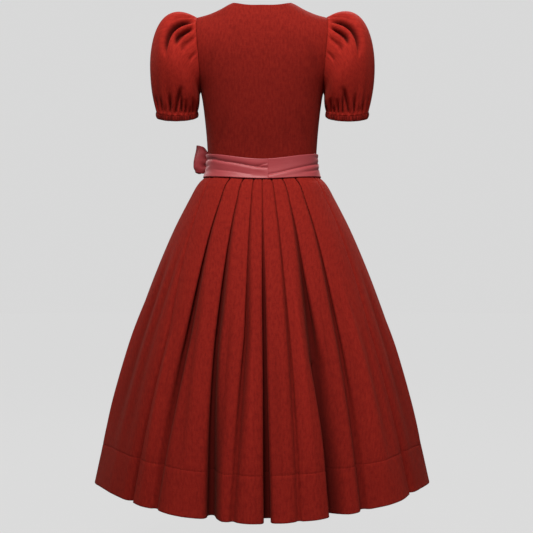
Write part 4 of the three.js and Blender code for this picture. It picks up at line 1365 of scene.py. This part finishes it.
def satin_look(name, colour):
    """Satin ribbon: soft sheen, a fine grain along its length and cloudy shade in its folds."""
    look = Look(bpy.data.materials.new(name))
    cloth_map, fold = look.cloth_map()
    grain = look.noise(look.stretch(cloth_map, 26, 1150), 1.0, 3.0, 0.6)
    cross = look.noise(look.stretch(cloth_map, 800, 120), 1.0, 2.0, 0.5)
    cloud = look.noise(cloth_map, 16.0, 3.0, 0.6)
    body = look.mix(cloud, tone(colour, 0.9), tone(colour, 1.1))
    body = look.mix(look.ramp(grain, 0.35, 0.68, 0.45), body, tinted(colour, 1.25, 1.5, 1.5))
    # Painted shade: the satin darkened where its fold value is low.
    deep = look.ramp(fold, 0.45, -0.2, 0.55, kind="SMOOTHSTEP")
    body = look.mix(deep, body, tone(colour, 0.5))
    rough = look.ramp(grain, 0.3, 0.7, 0.56, least=0.42)
    return look.finish(body, rough, grain + cross * 0.35, 0.00012, sheen_weight=0.3,
                       sheen_roughness=0.35, sheen_tint=(1.0, 0.6, 0.62, 1.0), anisotropic=0.4)


def thread_look(name, colour):
    """Sewing thread, a shade paler than the cloth it holds."""
    look = Look(bpy.data.materials.new(name))
    where = look.node("ShaderNodeTexCoord", {}, {}, output="Object")
    twist = look.noise(where, 900.0, 2.0)
    body = look.mix(twist, tone(colour, 0.85), tone(colour, 1.25))
    return look.finish(body, 0.6, twist, 0.0001, sheen_weight=0.1)


def floor_look(name, colour, share):
    """The studio floor: plain and pale, as bright as the backdrop."""
    look = Look(bpy.data.materials.new(name))
    return look.apply({
        "Base Color": (0.02, 0.02, 0.02, 1), "Roughness": 1.0, "Specular IOR Level": 0.0,
        "Emission Color": (*colour, 1), "Emission Strength": look.backdrop_light(share),
    })


def finish_named(name, make, *values):
    """One material of each name, made when it is first asked for."""
    return bpy.data.materials.get(name) or make(name, *values)


# ---------------------------------------------------------------- add-on


class DIRNDL_PG_dress(bpy.types.PropertyGroup):
    """Sizes and colours of the dress."""

    colour: FloatVectorProperty(name="Cloth", description="Colour of the woven cloth",
                                subtype="COLOR", size=3, min=0, max=1,
                                default=(0.33, 0.0158, 0.0107))
    weave: FloatProperty(name="Weave", description="Distance from yarn to yarn", unit="LENGTH",
                         default=0.0011, min=0.0003, max=0.005)


class DIRNDL_PG_satin(bpy.types.PropertyGroup):
    """Colours of the apron, its band, tie and bow."""

    colour: FloatVectorProperty(name="Satin", description="Colour of the satin", subtype="COLOR",
                                size=3, min=0, max=1, default=(0.45, 0.056, 0.064))


class DIRNDL_PG_studio(bpy.types.PropertyGroup):
    """Camera and light."""

    distance: FloatProperty(name="Distance", description="From the camera to the dress",
                            unit="LENGTH", default=2.5, min=1)
    eye: FloatProperty(name="Eye height", description="Height of the camera", unit="LENGTH",
                       default=-0.6)
    aside: FloatProperty(name="Aside", description="How far the camera stands off centre",
                         unit="LENGTH", default=-0.0105)
    lens: FloatProperty(name="Lens", description="Focal length in millimetres", default=70.4,
                        min=10)
    floor: FloatProperty(name="Floor", description="Height of the floor", unit="LENGTH",
                         default=-1.32)
    backdrop: FloatVectorProperty(name="Backdrop", description="Colour of the studio",
                                  subtype="COLOR", size=3, min=0, max=1,
                                  default=(0.69, 0.69, 0.69))


def claret(context, name="claret_cloth_finish", gain=1.0):
    """The dress's cloth, or the same cloth painted a shade lighter, as for the sleeves that catch
    more light.
    """
    dress = context.scene.dirndl_dress
    return finish_named(name, woven_look, tone(dress.colour, gain), dress.weave)


def rose(context, name="rose_satin_finish", make=satin_look):
    return finish_named(name, make, tuple(context.scene.dirndl_satin.colour))


class DIRNDL_OT_bodice(bpy.types.Operator):
    """Sews the bodice: one back and two fronts."""

    bl_idname = "dirndl.bodice"
    bl_label = "Bodice"

    def execute(self, context):
        look = claret(context)
        make_bodice_back(look)
        make_bodice_front(look, "bodice_front_left", 1)
        make_bodice_front(look, "bodice_front_right", -1)
        return {"FINISHED"}


class DIRNDL_OT_sleeves(bpy.types.Operator):
    """Sews both puff sleeves and their gathered edge bands."""

    bl_idname = "dirndl.sleeves"
    bl_label = "Sleeves"

    def execute(self, context):
        look = claret(context, "claret_sleeve_finish", SLEEVE_PAINTED_LIGHT)
        for side, hand, seed in (("left", 1, 0.4), ("right", -1, 1.9)):
            make_sleeve(look, f"sleeve_{side}", hand, seed)
            make_cuff(look, f"cuff_{side}", hand, seed)
        return {"FINISHED"}


class DIRNDL_OT_skirt(bpy.types.Operator):
    """Lays the skirt's pleats, back and front, and stitches its hem."""

    bl_idname = "dirndl.skirt"
    bl_label = "Skirt"

    def execute(self, context):
        look = claret(context)
        make_skirt(look, "skirt_back", BACK_PLEATS, BACK_FOLDS, 0)
        make_skirt(look, "skirt_front", FRONT_PLEATS, FRONT_FOLDS, -180)
        return {"FINISHED"}


class DIRNDL_OT_apron(bpy.types.Operator):
    """Gathers the apron into its band and ties the band round the waist."""

    bl_idname = "dirndl.apron"
    bl_label = "Apron"

    def execute(self, context):
        look, thread = rose(context), rose(context, "rose_thread_finish", thread_look)
        make_apron(look, thread)
        make_band(look, thread)
        make_tie(look)
        return {"FINISHED"}


class DIRNDL_OT_bow(bpy.types.Operator):
    """Ties the bow: knot, two loops and two hanging ends."""

    bl_idname = "dirndl.bow"
    bl_label = "Bow"

    def execute(self, context):
        look = rose(context)
        make_knot(look)
        make_loop(look, "bow_loop_back", 1, 10, 0.7)
        make_loop(look, "bow_loop_front", -1, 3, 2.6)
        make_tail(look, "bow_tail_back", 118.8, 112, 360, 34, 2.4, 0.5)
        make_tail(look, "bow_tail_front", 125.2, 124, 330, -30, 7.4, 2.2)
        return {"FINISHED"}


SENSOR = 36          # millimetres
FLOOR_REACH = 14.0
FLOOR_SIDES = 96
FLOOR_LIGHT = 0.12   # how much of the backdrop's light the floor gives
WORLD_LIGHT = 0.26   # and how much the rest of the studio
LIGHTS = (
    # name, place, size, power, colour
    ("key", (0.25, 1.7, 1.8), 0.8, 66, (1.0, 0.985, 0.96)),
    ("fill", (-1.6, 1.9, 0.6), 1.2, 10, (1.0, 1.0, 1.0)),
    ("front_key", (-0.45, -1.85, 1.7), 0.8, 56, (1.0, 0.985, 0.96)),
    ("front_fill", (1.6, -2.0, 0.6), 1.2, 10, (1.0, 1.0, 1.0)),
)


def stand(scene, name, data, where=(0, 0, 0), turn=(0, 0, 0)):
    """Puts something into the studio."""
    thing = bpy.data.objects.new(name, data)
    thing.location, thing.rotation_euler = where, turn
    scene.collection.objects.link(thing)
    return thing


class DIRNDL_OT_studio(bpy.types.Operator):
    """Sets the floor, the soft light and the camera."""

    bl_idname = "dirndl.studio"
    bl_label = "Studio"

    def execute(self, context):
        scene, studio = context.scene, context.scene.dirndl_studio
        middle = np.array([0.0, 0.0, (CAD_BOX[0][2] + CAD_BOX[1][2]) / 2])
        turns = [2 * math.pi * k / FLOOR_SIDES for k in range(FLOOR_SIDES)]
        ring = [(FLOOR_REACH * math.cos(a), FLOOR_REACH * math.sin(a), studio.floor) for a in turns]
        mesh = bpy.data.meshes.new("studio_floor")
        mesh.from_pydata(ring, [], [list(range(FLOOR_SIDES))])
        shade = tuple(studio.backdrop)
        mesh.materials.append(floor_look("studio_floor_finish", shade, FLOOR_LIGHT))
        floor = stand(scene, "studio_floor", mesh)
        floor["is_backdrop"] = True

        for name, where, size, power, colour in LIGHTS:
            lamp = bpy.data.lights.new(name, "AREA")
            lamp.shape, lamp.size, lamp.energy, lamp.color = "DISK", size, power, colour
            aim = Vector(middle - np.array(where)).to_track_quat("-Z", "Y").to_euler()
            stand(scene, name, lamp, where, aim)

        room = Look(bpy.data.worlds.new("studio"), "Background")
        strength = room.backdrop_light(WORLD_LIGHT)
        scene.world = room.apply({"Color": (*shade, 1), "Strength": strength})
        scene.view_settings.view_transform = "Standard"

        camera = bpy.data.cameras.new("camera")
        camera.lens, camera.sensor_width = studio.lens, SENSOR
        camera.sensor_fit = "HORIZONTAL"
        where = (studio.aside, studio.distance, studio.eye)
        scene.camera = stand(scene, "camera", camera, where, (math.pi / 2, 0, math.pi))
        return {"FINISHED"}


class DIRNDL_PT_panel(bpy.types.Panel):
    """Lists the steps and the values that they use."""

    bl_label = "Dirndl"
    bl_idname = "DIRNDL_PT_panel"
    bl_space_type = "VIEW_3D"
    bl_region_type = "UI"
    bl_category = "Dirndl"

    def draw(self, context):
        scene = context.scene
        for group in (scene.dirndl_dress, scene.dirndl_satin, scene.dirndl_studio):
            box = self.layout.box()
            for name in group.__annotations__:
                box.prop(group, name)
        for step in STEPS:
            self.layout.operator(step.bl_idname)


STEPS = (DIRNDL_OT_bodice, DIRNDL_OT_sleeves, DIRNDL_OT_skirt, DIRNDL_OT_apron, DIRNDL_OT_bow,
         DIRNDL_OT_studio)
GROUPS = {
    "dirndl_dress": DIRNDL_PG_dress,
    "dirndl_satin": DIRNDL_PG_satin,
    "dirndl_studio": DIRNDL_PG_studio,
}


def register():
    for group in (*GROUPS.values(), *STEPS, DIRNDL_PT_panel):
        bpy.utils.register_class(group)
    for name, group in GROUPS.items():
        setattr(bpy.types.Scene, name, PointerProperty(type=group))


def unregister():
    for name in GROUPS:
        delattr(bpy.types.Scene, name)
    for group in reversed((*GROUPS.values(), *STEPS, DIRNDL_PT_panel)):
        bpy.utils.unregister_class(group)


def main():
    register()
    for step in ("bodice", "sleeves", "skirt", "apron", "bow", "studio"):
        getattr(bpy.ops.dirndl, step)()
    boxes = {"cad": CAD_BOX, "visual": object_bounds()}
    plain = {name: [[float(x) for x in corner] for corner in box] for name, box in boxes.items()}


if __name__ == "__main__":
    main()
